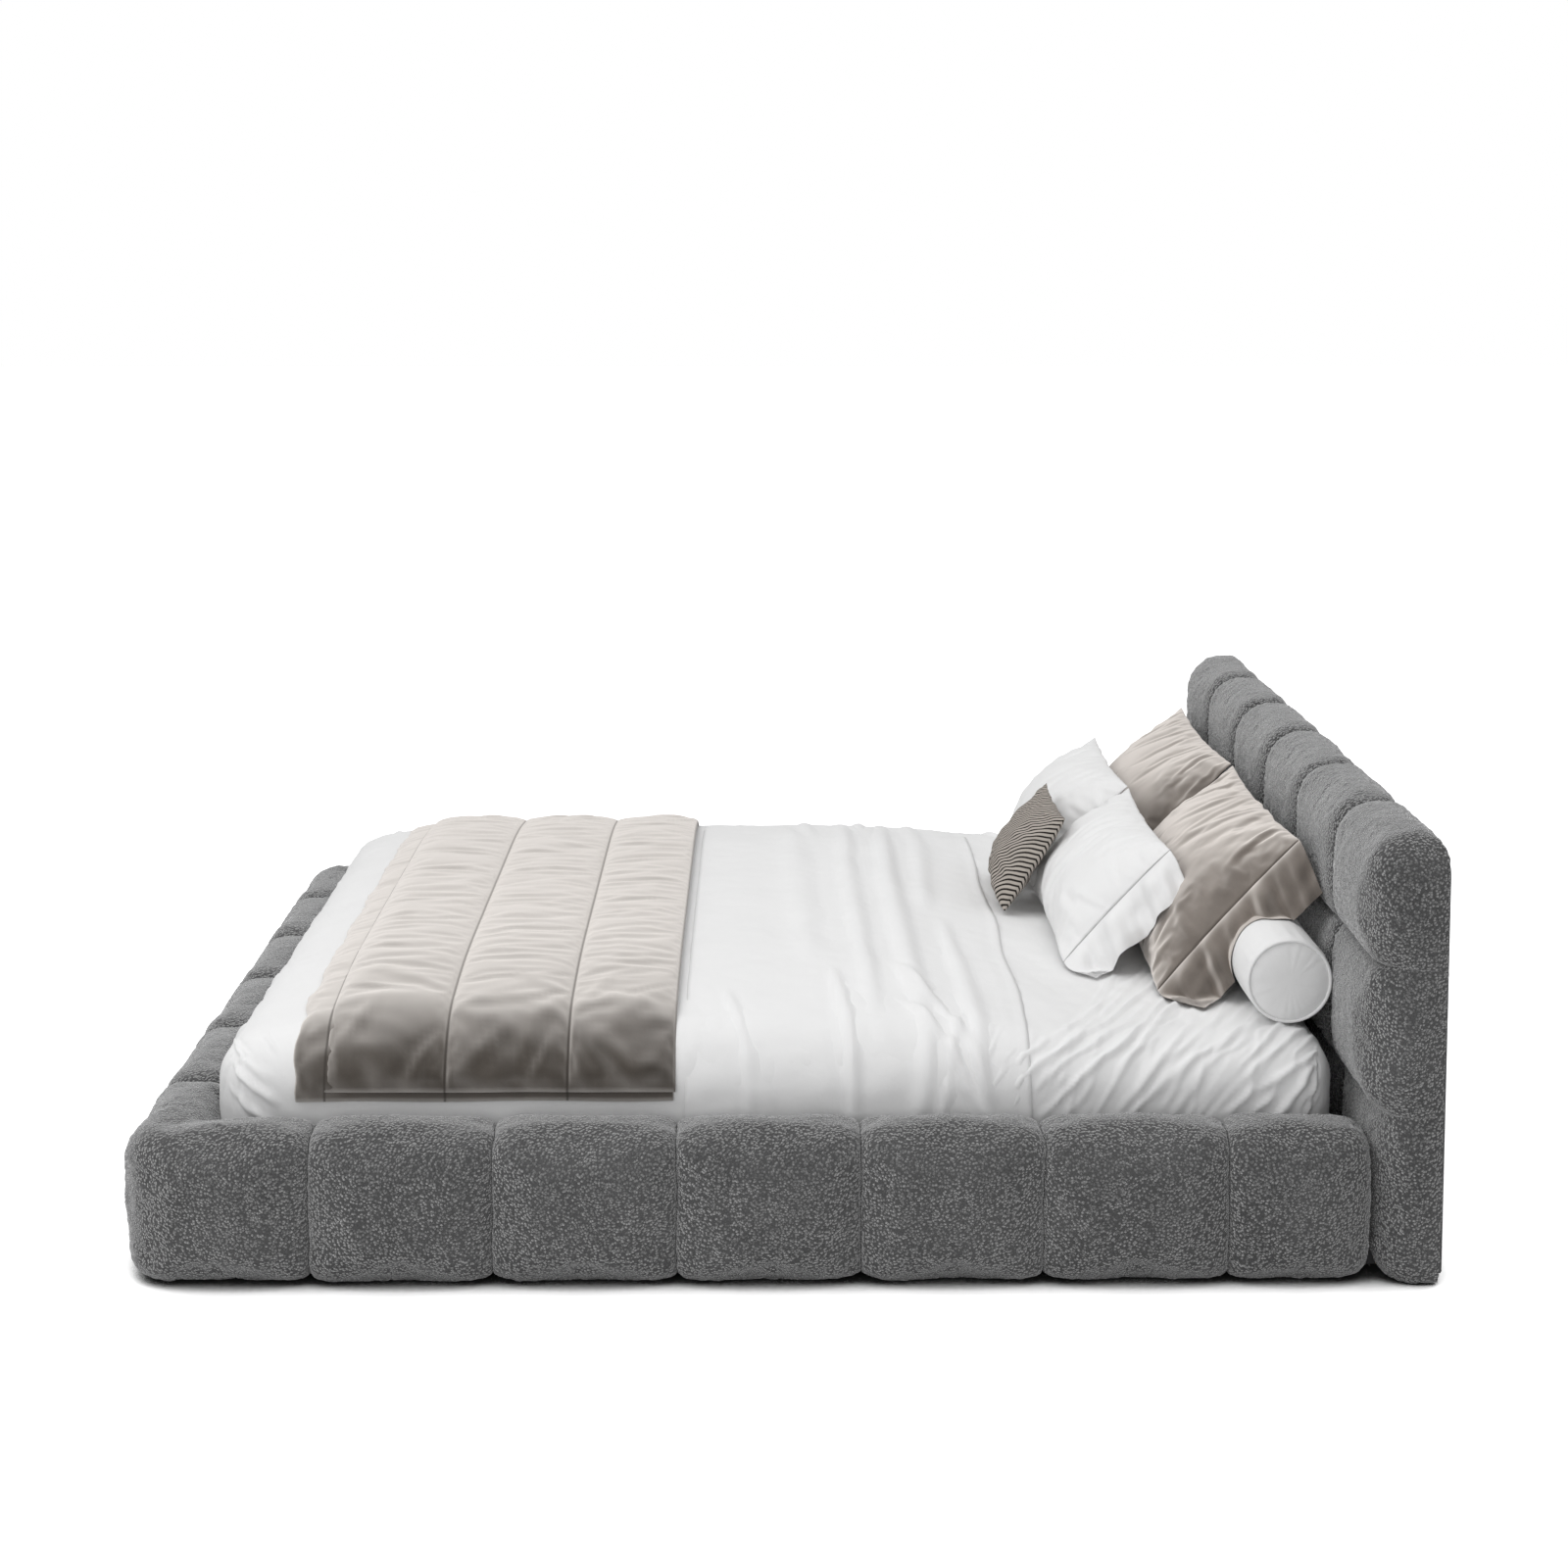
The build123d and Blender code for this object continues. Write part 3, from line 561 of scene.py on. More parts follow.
class BED_OT_rails(bpy.types.Operator):
    """Build both side rails' pads from puffed foam blocks"""
    bl_idname = "bed.rails"
    bl_label = "Side Rail Pads"

    def execute(self, context):
        pitch = sizes().block_pitch
        places, start = [], RAIL_START
        while start < RAIL_END - 0.001:
            end = min(start + pitch, RAIL_END)
            places.append((start, end))
            start = end
        plain, plain_pins = rail_block("rail_block", pitch)
        last, last_pins = rail_block("rail_head_block", places[-1][1] - places[-1][0], free_end=True)
        swell([plain, last], [plain_pins, last_pins])
        for side, name in ((1, "right"), (-1, "left")):
            stamps = []
            for start, end in places:
                block = last if end == RAIL_END else plain
                place = (side * RAIL_INNER, (start + end) / 2, PAD_BOTTOM)
                stamps.append((block.data, turn_to((0, 1, 0), (side, 0, 0), place)))
            board = sorted((side * BOARD_LOW[0], side * BOARD_HIGH[0]))
            under = sorted((side * (RAIL_INNER - 0.02), side * (BOARD_LOW[0] + 0.001)))
            low = (board[0], -PAST_BED, BELOW_FLOOR)
            rooms = [
                grow(low, (board[1], PAST_BED, BOARD_HIGH[2]), BOARD_CLEAR),
                ((under[0], -PAST_BED, BELOW_FLOOR), (under[1], PAST_BED, FLAP_LOW)),
            ]
            low = (board[0], RAIL_START - 0.03, BOARD_LOW[2])
            high = (board[1], RAIL_END + 0.02, BOARD_HIGH[2])
            board_lining(f"{name}_rail_board", low, high, (side, 0, 0))
            pad_piece(f"{name}_rail_upholstery", f"{name}_rail_pad", stamps, rooms)
        drop(plain, last)
        return {"FINISHED"}


class BED_OT_foot(bpy.types.Operator):
    """Build the foot end's pad, its corner blocks wrapped round without a seam"""
    bl_idname = "bed.foot"
    bl_label = "Foot End Pad"

    def execute(self, context):
        pitch = sizes().block_pitch
        plain, plain_pins = rail_block("foot_block", pitch)
        corner, corner_pins = corner_block("corner_block")
        swell([plain, corner], [plain_pins, corner_pins])
        stamps = [
            (plain.data, turn_to((1, 0, 0), (0, -1, 0), (step * pitch, FOOT_INNER, PAD_BOTTOM)))
            for step in (-1.5, -0.5, 0.5, 1.5)
        ]
        stamps += [(corner.data, Matrix.Identity(4)), (corner.data, Matrix.Diagonal((-1, 1, 1, 1)))]
        foot_low, foot_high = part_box("foot_board")
        start, ahead = foot_low[1], RAIL_START + 0.01
        rooms = [grow((foot_low[0], start, BELOW_FLOOR), foot_high, BOARD_CLEAR)]
        for inner, outer in ((BOARD_LOW[0], BOARD_HIGH[0]), (-BOARD_HIGH[0], -BOARD_LOW[0])):
            low, high = (inner, start, BELOW_FLOOR), (outer, ahead, BOARD_HIGH[2])
            rooms.append(grow(low, high, BOARD_CLEAR))
        well = BOARD_LOW[0] + LINING_CLEAR
        rooms.append(((-well, foot_high[1] - LINING_CLEAR, BELOW_FLOOR), (well, ahead, FLAP_LOW)))
        board_lining("foot_board", foot_low, foot_high, (0, -1, 0))
        pad_piece("foot_upholstery", "foot_pad", stamps, rooms)
        drop(plain, corner)
        return {"FINISHED"}


ROW_SEAMS = (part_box("headboard_blocks_middle")[0][2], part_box("headboard_blocks_middle")[1][2])
HEADBOARD_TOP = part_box("headboard_blocks_top")[1][2]
CROWN_DEPTH = PANEL_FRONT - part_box("headboard_blocks_top")[0][1]
BOTTOM_DEPTH = PANEL_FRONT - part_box("headboard_blocks_bottom")[0][1]
HEADBOARD_COLUMNS = 6
# the headboard's rounded top, its outer ends and the smaller round at its back
CROWN_ROUND = 0.078
END_ROUND = 0.056
BACK_ROUND = (0.032, 0.036)
# the bottom row stands back from the two above it, over this much to each side of their seam
STEP_REACH = 0.03
# the lower edge is drawn in under the headboard
UNDER_REACH = 0.05
UNDER_DEPTH = 0.02
# the lining of the back stops short of the rounded top
BACK_SHORT = 0.045


def headboard_column(name, end_free):
    """One column of the headboard, all rows: x across, y from the panel forwards, z up.

    A free end is the outer one, at high x, where the rows meet in one smooth face.
    """
    half = sizes().block_pitch / 2 - SEAM_GAP
    deep, top = CROWN_DEPTH - COVER_ROOM, HEADBOARD_TOP - COVER_ROOM
    bm = bmesh.new()
    block_mesh(bm, (-half, 0, PAD_BOTTOM), (half, deep, top))
    column = scratch(name, bm)
    remesh(column, sizes().foam_voxel)
    points = points_of(column.data)
    crown = [(1, deep, -CROWN_ROUND), (2, top, -CROWN_ROUND)]
    points = round_off(points, crown + ([(0, half, -END_ROUND)] if end_free else []))
    points = round_off(points, [(1, 0.0, BACK_ROUND[0]), (2, top, -BACK_ROUND[1])])
    share = smooth_step(ROW_SEAMS[0] - STEP_REACH, ROW_SEAMS[0] + STEP_REACH, points[:, 2])
    points[:, 1] *= share + (1 - share) * (BOTTOM_DEPTH - COVER_ROOM) / deep
    reach, dip = sizes().seam_reach, sizes().seam_depth
    middle = (ROW_SEAMS[1] + top) / 2
    sections = [(1, -deep, deep, 0, 1.15), (2, 2 * middle - top, top, 0, 1.25)]
    draw_in(points, 0, -half, reach, dip, sections)
    if not end_free:
        draw_in(points, 0, half, reach, dip, sections)
    for seam in ROW_SEAMS:
        draw_in(points, 2, seam, 1.15 * reach, 1.7 * dip, [(1, -deep, deep, 0, 1)])
        if end_free:
            # the row seams dent the smooth outer face a little
            dent = np.exp(-(((points[:, 2] - seam) / 0.022) ** 2)) * smooth_step(0.03, deep, points[:, 1])
            points[:, 0] -= 0.007 * dent * smooth_step(half - 0.03, half, points[:, 0])
    under = [(0, -half, half, 0, 0.6)] if end_free else []
    draw_in(points, 2, PAD_BOTTOM, UNDER_REACH, UNDER_DEPTH, [*under, (1, -deep, deep, 0, 1.8)])
    move_points(column.data, points)
    pinned = (points[:, 0] < SEWN - half) | (points[:, 1] < SEWN) | (points[:, 2] < PAD_BOTTOM + SEWN)
    if not end_free:
        pinned |= points[:, 0] > half - SEWN
    for seam in ROW_SEAMS:
        pinned |= (np.abs(points[:, 2] - seam) < SEWN) & (points[:, 1] > 0.6 * deep)
    return column, pinned


def row_of(column, low, high):
    """The part of a column between two heights, closed where it is cut."""
    bm = bmesh.new()
    bm.from_mesh(column.data)
    for height, above in ((low, True), (high, False)):
        if height is None:
            continue
        bmesh.ops.bisect_plane(
            bm, geom=[*bm.verts, *bm.edges, *bm.faces], dist=1e-6, plane_co=(0, 0, height),
            plane_no=(0, 0, 1), clear_inner=above, clear_outer=not above)
        bmesh.ops.holes_fill(bm, edges=[e for e in bm.edges if e.is_boundary], sides=0)
    bmesh.ops.recalc_face_normals(bm, faces=bm.faces)
    return scratch("row_block", bm)


def headboard_rooms():
    """The room for the timbers in every row, and the pockets for rails and beam in the bottom row."""
    low, high = (TIMBER_LOW[0], PLY_FRONT, BELOW_FLOOR), (TIMBER_HIGH[0], PAST_BED, TIMBER_HIGH[2])
    timber = grow(low, high, BOARD_CLEAR)
    front, back = 0.95, PLY_FRONT + 0.001
    pockets = []
    for side in (-1, 1):
        span = sorted((side * (BOARD_LOW[0] - 0.05), side * (BOARD_HIGH[0] + 0.001)))
        pockets.append(((span[0], front, BELOW_FLOOR), (span[1], back, BOARD_HIGH[2] + 0.002)))
    low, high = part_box("beam_hangers")
    pockets.append(((low[0] - 0.012, front, low[2] - 0.009), (high[0] + 0.012, back, high[2] + 0.008)))
    return timber, pockets


def back_cover():
    """Line the headboard's back with a flat panel, its upper corners rounded."""
    bm = bmesh.new()
    block_mesh(bm, PANEL_LOW, (PANEL_HIGH[0], PANEL_HIGH[1], HEADBOARD_TOP - BACK_SHORT))
    corners = [e for e in bm.edges if all(v.co.z > 0.5 for v in e.verts)
               and abs(e.verts[0].co.y - e.verts[1].co.y) > 0.001]
    bmesh.ops.bevel(bm, geom=corners, offset=0.03, segments=7, profile=0.5, affect="EDGES", material=-1)
    round_edge(bm, 0.005, lambda p: near(p.y, PANEL_HIGH[1]))
    back = scratch("headboard_back_cover", bm)
    finish_piece(back, "bed_frame", "backing_cloth", backing_material(), "headboard_back_panel")


class BED_OT_headboard(bpy.types.Operator):
    """Build the headboard's three rows of foam blocks and dress its back"""
    bl_idname = "bed.headboard"
    bl_label = "Headboard"

    def execute(self, context):
        pitch = sizes().block_pitch
        inner, inner_pins = headboard_column("headboard_column", False)
        outer, outer_pins = headboard_column("headboard_end_column", True)
        swell([inner, outer], [inner_pins, outer_pins])
        timber, pockets = headboard_rooms()
        back_cover()
        rows = (("top", ROW_SEAMS[1], None), ("middle", *ROW_SEAMS), ("bottom", None, ROW_SEAMS[0]))
        last = HEADBOARD_COLUMNS - 1
        for row, low, high in rows:
            plain, end = row_of(inner, low, high), row_of(outer, low, high)
            stamps = []
            for column in range(HEADBOARD_COLUMNS):
                block = end if column in (0, last) else plain
                facing = -1 if column == 0 else 1
                place = ((column - last / 2) * pitch, PANEL_FRONT, 0)
                stamps.append((block.data, turn_to((facing, 0, 0), (0, -1, 0), place)))
            rooms = [timber] + (pockets if row == "bottom" else [])
            pad_piece(f"headboard_{row}_upholstery", f"headboard_blocks_{row}", stamps, rooms)
            drop(plain, end)
        drop(inner, outer)
        return {"FINISHED"}


# Mattress and linen

EDGE_ROUND = 0.085
# the mattress stands this far from the headboard, so that it lifts past the blocks
HEAD_ROOM = 0.012
# the ticking lies this far inside the mattress's solid, under the fitted sheet
TICKING_INSET = 0.004
TAPE_RISE = 0.016
# how high the made bed's top stands along its middle, and how much less near the long edges
CROWN_RISE = 0.050
CROWN_FALL = 0.034
# how many pulls the fitted sheet has on each side, at its head, at each corner and on each end
SIDE_PULLS, HEAD_PULLS, CORNER_GATHERS, END_PULLS = 84, 58, 12, 40


def rounded_box(name, low, high, cells, rounds, crowding=()):
    """A box with an even grid on its faces and rounded edges; its underside is open.

    rounds is (side corners, top edge, bottom edge). crowding gives, for X and Y, shares of the cells and
    the places that they reach. Returns where the points lay on the square box too.
    """
    bm = bmesh.new()
    bmesh.ops.create_cube(bm, size=2.0)
    for axis, count in enumerate(cells):
        edges = [e for e in bm.edges if abs(e.verts[0].co[axis] - e.verts[1].co[axis]) > 1.9]
        bmesh.ops.subdivide_edges(bm, edges=edges, cuts=count - 1, use_grid_fill=True)
    under = [f for f in bm.faces if f.normal.z < -0.9]
    bmesh.ops.delete(bm, geom=under, context="FACES")
    obj = scratch(name, bm)
    points = points_of(obj.data)
    low, high = np.array(low), np.array(high)
    size = (high - low) / 2
    side, top, bottom = rounds
    at = points * size
    middle = (low + high) / 2
    for axis, (shares, places) in enumerate(crowding):
        at[:, axis] = np.interp(points[:, axis] / 2 + 0.5, shares, places) - middle[axis]
    reach_z = np.where(at[:, 2] > 0, top, bottom)
    reach = np.stack([np.full(len(at), side), np.full(len(at), side), reach_z], axis=1)
    core = np.clip(at, -(size - reach), size - reach)
    q = (at - core) / reach
    length = np.maximum(np.linalg.norm(q, axis=1, keepdims=True), 1e-9)
    rounded = np.where(length > 1, core + reach * q / length, at)
    move_points(obj.data, plump(rounded + middle))
    return obj, at + middle


def plump(points):
    """Raise the made bed's top between its foot edge and the pillows, most along its middle."""
    from_middle = np.clip((np.abs(points[:, 0]) - 0.34) / 0.44, 0, 1)
    along = smooth_step(-0.99, -0.74, points[:, 1]) * smooth_step(0.56, 0.12, points[:, 1])
    upper = smooth_step(MATTRESS_TOP - 0.08, MATTRESS_TOP, points[:, 2])
    raised = points.copy()
    raised[:, 2] += (CROWN_RISE - CROWN_FALL * from_middle**2) * along * upper
    return raised


def sheet_pulls(flat, flat_ends, edge, head, foot):
    """How far pulls and gathers lift the fitted sheet: on its top and long sides, and on its ends.

    flat is where the points lie when the long sides are laid out flat, flat_ends when the ends are.
    """
    draw = np.random.default_rng(21)
    sides, ends = np.zeros(len(flat)), np.zeros(len(flat))
    for side in (1, -1):
        for _ in range(SIDE_PULLS):
            # pulls that slant over the edge and down the side, away from the nearer end
            y = draw.uniform(foot + 0.01, head - 0.01)
            close = math.exp(-min(y - foot, head - y) / 0.35)
            tilt = (1 if y < -0.3 else -1) * (0.25 + 0.75 * close) * draw.uniform(0.04, 0.17)
            path = [
                (side * (edge - draw.uniform(0.02, 0.13)), y - 0.8 * tilt),
                (side * (edge + 0.03), y),
                (side * (edge + draw.uniform(0.13, 0.2)), y + 1.1 * tilt),
            ]
            height = draw.uniform(0.0012, 0.0042) * (0.3 + 0.9 * close)
            sides += crease(flat, path, draw.uniform(0.005, 0.0095), height)
        for _ in range(HEAD_PULLS):
            # slack at the head end, drawn slanting over the top to the side
            y, inner_x = draw.uniform(0.52, 0.98), draw.uniform(0.12, 0.6)
            turn = draw.uniform(0.5, 1.1)
            path = [
                (side * inner_x, y + 0.55 * turn * (0.72 - inner_x)),
                (side * 0.70, y),
                (side * (edge + 0.03), y - 0.12 * turn),
                (side * (edge + 0.18), y - 0.27 * turn),
            ]
            width, height = draw.uniform(0.005, 0.009), draw.uniform(0.0012, 0.0031)
            sides += crease(flat, path, width, height, fade=0.3)
        for end, along in ((foot, 1), (head, -1)):
            for _ in range(CORNER_GATHERS):
                # gathers that fan out from each corner
                fall, reach = draw.uniform(0.0, 0.10), draw.uniform(0.06, 0.22)
                start = (side * (edge + fall), end + along * draw.uniform(0.0, 0.03))
                far = reach * draw.uniform(0.4, 1.2)
                stop = (side * (edge + fall + far), end + along * (0.03 + reach))
                width, height = draw.uniform(0.006, 0.010), draw.uniform(0.002, 0.0045)
                sides += crease(flat, [start, stop], width, height)
    for end, along in ((foot, -1), (head, 1)):
        for _ in range(END_PULLS):
            x, slant = draw.uniform(-edge, edge), draw.uniform(-0.12, 0.12)
            start = (x, end - along * draw.uniform(0.0, 0.06))
            stop = (x + slant, end + along * draw.uniform(0.1, 0.2))
            width, height = draw.uniform(0.007, 0.012), draw.uniform(0.001, 0.003)
            ends += crease(flat_ends, [start, stop], width, height)
    return sides, ends


def fit_sheet():
    """Pull the fitted sheet over the mattress."""
    low, high = FITTED_LOW, (FITTED_HIGH[0], FITTED_HIGH[1] - HEAD_ROOM, FITTED_HIGH[2])
    # the cells crowd towards the sides, the foot edge and the head end, where the sheet shows
    crowding = (
        ((0, 0.40, 0.60, 1), (low[0], -0.28, 0.28, high[0])),
        ((0, 0.17, 0.44, 1), (low[1], -0.78, 0.36, high[1])),
    )
    rounds = (EDGE_ROUND, EDGE_ROUND, 0.004)
    sheet, square = rounded_box("fitted_sheet_cloth", low, high, (228, 284, 32), rounds, crowding)
    points = points_of(sheet.data)
    normals = normals_of(sheet.data)
    edge, head, foot = high[0], high[1], low[1]
    down = high[2] - square[:, 2]
    on_end = (np.abs(square[:, 0]) < edge - 1e-4) & (down > 1e-4)
    flat = np.stack([square[:, 0] + np.sign(square[:, 0]) * down, square[:, 1]], axis=1)
    flat_ends = np.stack([square[:, 0], square[:, 1] + np.sign(square[:, 1]) * down], axis=1)
    sides, ends = sheet_pulls(flat, flat_ends, edge, head, foot)
    lift = np.where(on_end, ends, sides)
    lift += 0.0012 * waves(points, 0.14, 23) + 0.0006 * waves(points, 0.05, 24)
    hem = smooth_step(low[2], low[2] + 0.03, points[:, 2])
    # under the throw the sheet lies flat
    covered = smooth_step(-0.90, -0.87, points[:, 1]) * smooth_step(-0.16, -0.19, points[:, 1])
    lift = np.clip(lift, -0.0012, 0.009) * (1 - 0.97 * covered)
    points += normals * (lift * hem)[:, None]
    points[:, 1] = np.minimum(points[:, 1], head + 0.0015)
    move_points(sheet.data, points)
    finish_piece(sheet, "mattress_set", "white_linen", linen_cloth(), "fitted_sheet")


class BED_OT_mattress(bpy.types.Operator):
    """Build the mattress in its ticking, and the fitted sheet with its pulled corners"""
    bl_idname = "bed.mattress"
    bl_label = "Mattress and Fitted Sheet"

    def execute(self, context):
        low = [MATTRESS_LOW[0] + TICKING_INSET, MATTRESS_LOW[1] + TICKING_INSET, MATTRESS_LOW[2]]
        high = [place - TICKING_INSET for place in MATTRESS_HIGH]
        high[1] -= HEAD_ROOM
        rounds = (EDGE_ROUND, EDGE_ROUND, 0.02)
        core = rounded_box("mattress_in_ticking", low, high, (64, 80, 10), rounds)[0]
        bm = bmesh.new()
        bm.from_mesh(core.data)
        bmesh.ops.contextual_create(bm, geom=[e for e in bm.edges if e.is_boundary])
        add_tape(bm, core, low[2] + TAPE_RISE)
        bm.to_mesh(core.data)
        bm.free()
        finish_piece(core, "mattress_set", "ticking", ticking_cloth(), "mattress")
        fit_sheet()
        return {"FINISHED"}


def add_tape(bm, core, height):
    """A taped edge round the foot of the mattress."""
    points = points_of(core.data)
    low, high = points.min(axis=0), points.max(axis=0)
    tape = bmesh.new()
    block_mesh(tape, (low[0], low[1], height - 0.006), (high[0], high[1], height + 0.006))
    upright = [e for e in tape.edges if abs(e.verts[0].co.z - e.verts[1].co.z) > 0.01]
    bmesh.ops.bevel(tape, geom=upright, offset=EDGE_ROUND, segments=8, profile=0.5, affect="EDGES",
                    material=-1)
    caps = [f for f in tape.faces if abs(f.normal.z) > 0.9]
    bmesh.ops.delete(tape, geom=caps, context="FACES_ONLY")
    bmesh.ops.solidify(tape, geom=tape.faces[:], thickness=-0.004)
    edges = [e for e in tape.edges if e.is_manifold and e.calc_face_angle(0) > 0.9]
    bmesh.ops.bevel(tape, geom=edges, offset=0.0025, segments=2, profile=0.5, affect="EDGES", material=-1)
    stamp_part(bm, tape, Matrix.Identity(4))


EDGE_FALL = 0.004


def bed_outline(run, reach):
    """Points and outward directions on the made bed's outline across, at a run from its middle.

    A run is measured along the cloth, negative towards -X. reach is how round the edge is.
    """
    half = MATTRESS_HIGH[0]
    flat = half - reach
    bend = reach * math.pi / 2
    away = np.abs(run)
    side = np.sign(run)
    turn = np.clip((away - flat) / bend, 0, 1) * math.pi / 2
    down = np.maximum(away - flat - bend, 0)
    crown = MATTRESS_TOP - EDGE_FALL * smooth_step(half - 0.30, half - 0.05, np.minimum(away, flat))
    x = np.minimum(away, flat) + reach * np.sin(turn)
    z = crown - reach + reach * np.cos(turn) - down
    return side * x, z, side * np.sin(turn), np.cos(turn)


def side_run(bottom, reach):
    """The run from the middle of the bed to a hem at this height."""
    half = MATTRESS_HIGH[0]
    return half - reach + reach * math.pi / 2 + MATTRESS_TOP - EDGE_FALL - reach - bottom


def cloth_grid(columns, rows, low, high):
    """A flat grid of cloth between two corners."""
    bm = bmesh.new()
    bmesh.ops.create_grid(bm, x_segments=columns, y_segments=rows, size=0.5)
    bmesh.ops.scale(bm, vec=(high[0] - low[0], high[1] - low[1], 1), verts=bm.verts)
    bmesh.ops.translate(bm, vec=((low[0] + high[0]) / 2, (low[1] + high[1]) / 2, 0), verts=bm.verts)
    return bm


def cloth_band(name, run, low_y, high_y, cell):
    """Flat cloth to lay across the bed: x is the run from the middle, y the place along the bed."""
    columns, rows = round(2 * run / cell), round((high_y - low_y) / cell)
    return scratch(name, cloth_grid(columns, rows, (-run, low_y), (run, high_y)))


def second_layer(bm):
    """Copy the whole mesh to face the other way, and return the copy's points."""
    copy = bmesh.ops.duplicate(bm, geom=[*bm.verts, *bm.edges, *bm.faces])["geom"]
    bmesh.ops.reverse_faces(bm, faces=[g for g in copy if isinstance(g, bmesh.types.BMFace)])
    return [g for g in copy if isinstance(g, bmesh.types.BMVert)]


def lay_over_bed(points, reach):
    """Carry flat cloth (run, y, height) onto the made bed."""
    x, z, out_x, out_z = bed_outline(points[:, 0], reach)
    return plump(np.stack([x + out_x * points[:, 2], points[:, 1], z + out_z * points[:, 2]], axis=1))


# Folds of the top sheet: path (run, y), width and height
TOP_SHEET_FOLDS = (
    ([(-0.80, 0.155), (-0.2, 0.150), (0.35, 0.160), (0.72, 0.172)], 0.022, 0.010),
    ([(-0.80, 0.245), (-0.1, 0.235), (0.40, 0.245), (0.80, 0.262), (1.0, 0.225)], 0.024, 0.012),
    ([(-0.70, 0.03), (0.0, 0.045), (0.5, 0.06)], 0.03, 0.006),
    ([(0.10, 0.33), (0.55, 0.345), (0.90, 0.36), (1.0, 0.37)], 0.018, 0.008),
    ([(0.45, 0.21), (0.70, 0.30), (0.88, 0.385)], 0.013, 0.009),
    ([(0.62, 0.20), (0.80, 0.315), (0.95, 0.40)], 0.011, 0.008),
    ([(0.50, 0.10), (0.78, 0.125), (1.0, 0.13)], 0.012, 0.009),
    ([(0.66, 0.33), (0.86, 0.29), (1.02, 0.25)], 0.010, 0.008),
    ([(0.60, -0.10), (0.80, -0.06), (1.0, -0.045)], 0.010, 0.006),
    ([(0.74, 0.30), (0.90, 0.345), (1.02, 0.36)], 0.009, 0.006),
    ([(-0.9, 0.30), (-0.5, 0.32), (0.1, 0.30)], 0.02, 0.006),
    ([(-1.0, 0.02), (-0.8, 0.06), (-0.5, 0.08)], 0.016, 0.006),
    ([(-1.0, 0.22), (-0.82, 0.19), (-0.6, 0.20)], 0.015, 0.007),
    ([(0.74, -0.06), (0.88, -0.03), (1.0, -0.02)], 0.014, 0.004),
)
LINEN_CELL = 0.0085
LINEN_THICKNESS = 0.0012
# how high the top sheet lies over the mattress, and the least that it may
TOP_SHEET_LIFT = 0.0048
TOP_SHEET_LEAST = 0.0024


class BED_OT_top_sheet(bpy.types.Operator):
    """Lay the top sheet across the bed, with its long folds and sewn hem"""
    bl_idname = "bed.top_sheet"
    bl_label = "Top Sheet"

    def execute(self, context):
        low_y, high_y = TOP_SHEET_LOW[1], TOP_SHEET_HIGH[1]
        run = side_run(TOP_SHEET_LOW[2], EDGE_ROUND)
        sheet = cloth_band("top_sheet_cloth", run, low_y, high_y, LINEN_CELL)
        flat = points_of(sheet.data)
        place = flat[:, :2].copy()
        lift = np.full(len(flat), TOP_SHEET_LIFT)
        for path, width, height in TOP_SHEET_FOLDS:
            lift += np.maximum(crease(place, path, width, height), -0.0015)
        lift += 0.0010 * waves(place, 0.22, 31) + 0.0005 * waves(place, 0.07, 32)
        # a rolled hem with a stitched groove behind it
        hem = np.minimum(high_y - place[:, 1], run - np.abs(place[:, 0]))
        roll = np.exp(-(((hem - 0.006) / 0.005) ** 2))
        groove = np.exp(-(((hem - 0.026) / 0.004) ** 2))
        lift += 0.0016 * roll - 0.0008 * groove
        near_foot = np.exp(-(((place[:, 1] - low_y) / 0.02) ** 2))
        flat[:, 2] = np.maximum(lift - 0.002 * near_foot, TOP_SHEET_LEAST)
        flat[:, 1] += 0.004 * waves(place[:, :1], 0.5, 33) * smooth_step(high_y - 0.2, high_y, place[:, 1])
        move_points(sheet.data, lay_over_bed(flat, EDGE_ROUND))
        solid = sheet.modifiers.new("Thickness", "SOLIDIFY")
        solid.thickness = LINEN_THICKNESS
        solid.offset = 1.0
        finish_piece(sheet, "mattress_set", "white_linen", linen_cloth(), "top_sheet")
        return {"FINISHED"}


# Quilted throw

THROW_SEAMS = (-0.796, -0.586, -0.372, -0.183)
UNDER_FOOT = -0.850
THROW_CROWN = 0.011
THROW_SEAM_HEIGHT = 0.0185
THROW_ROUND = 0.118
THROW_UNDERSIDE = 0.0145
UNDER_ROUND = 0.096
UNDER_CROWN = 0.004
UNDER_SEAM_HEIGHT = 0.0105
UNDER_UNDERSIDE = 0.0045
# where the upper layer covers it, the layer below lies flat at this height
UNDER_FLAT = 0.0085


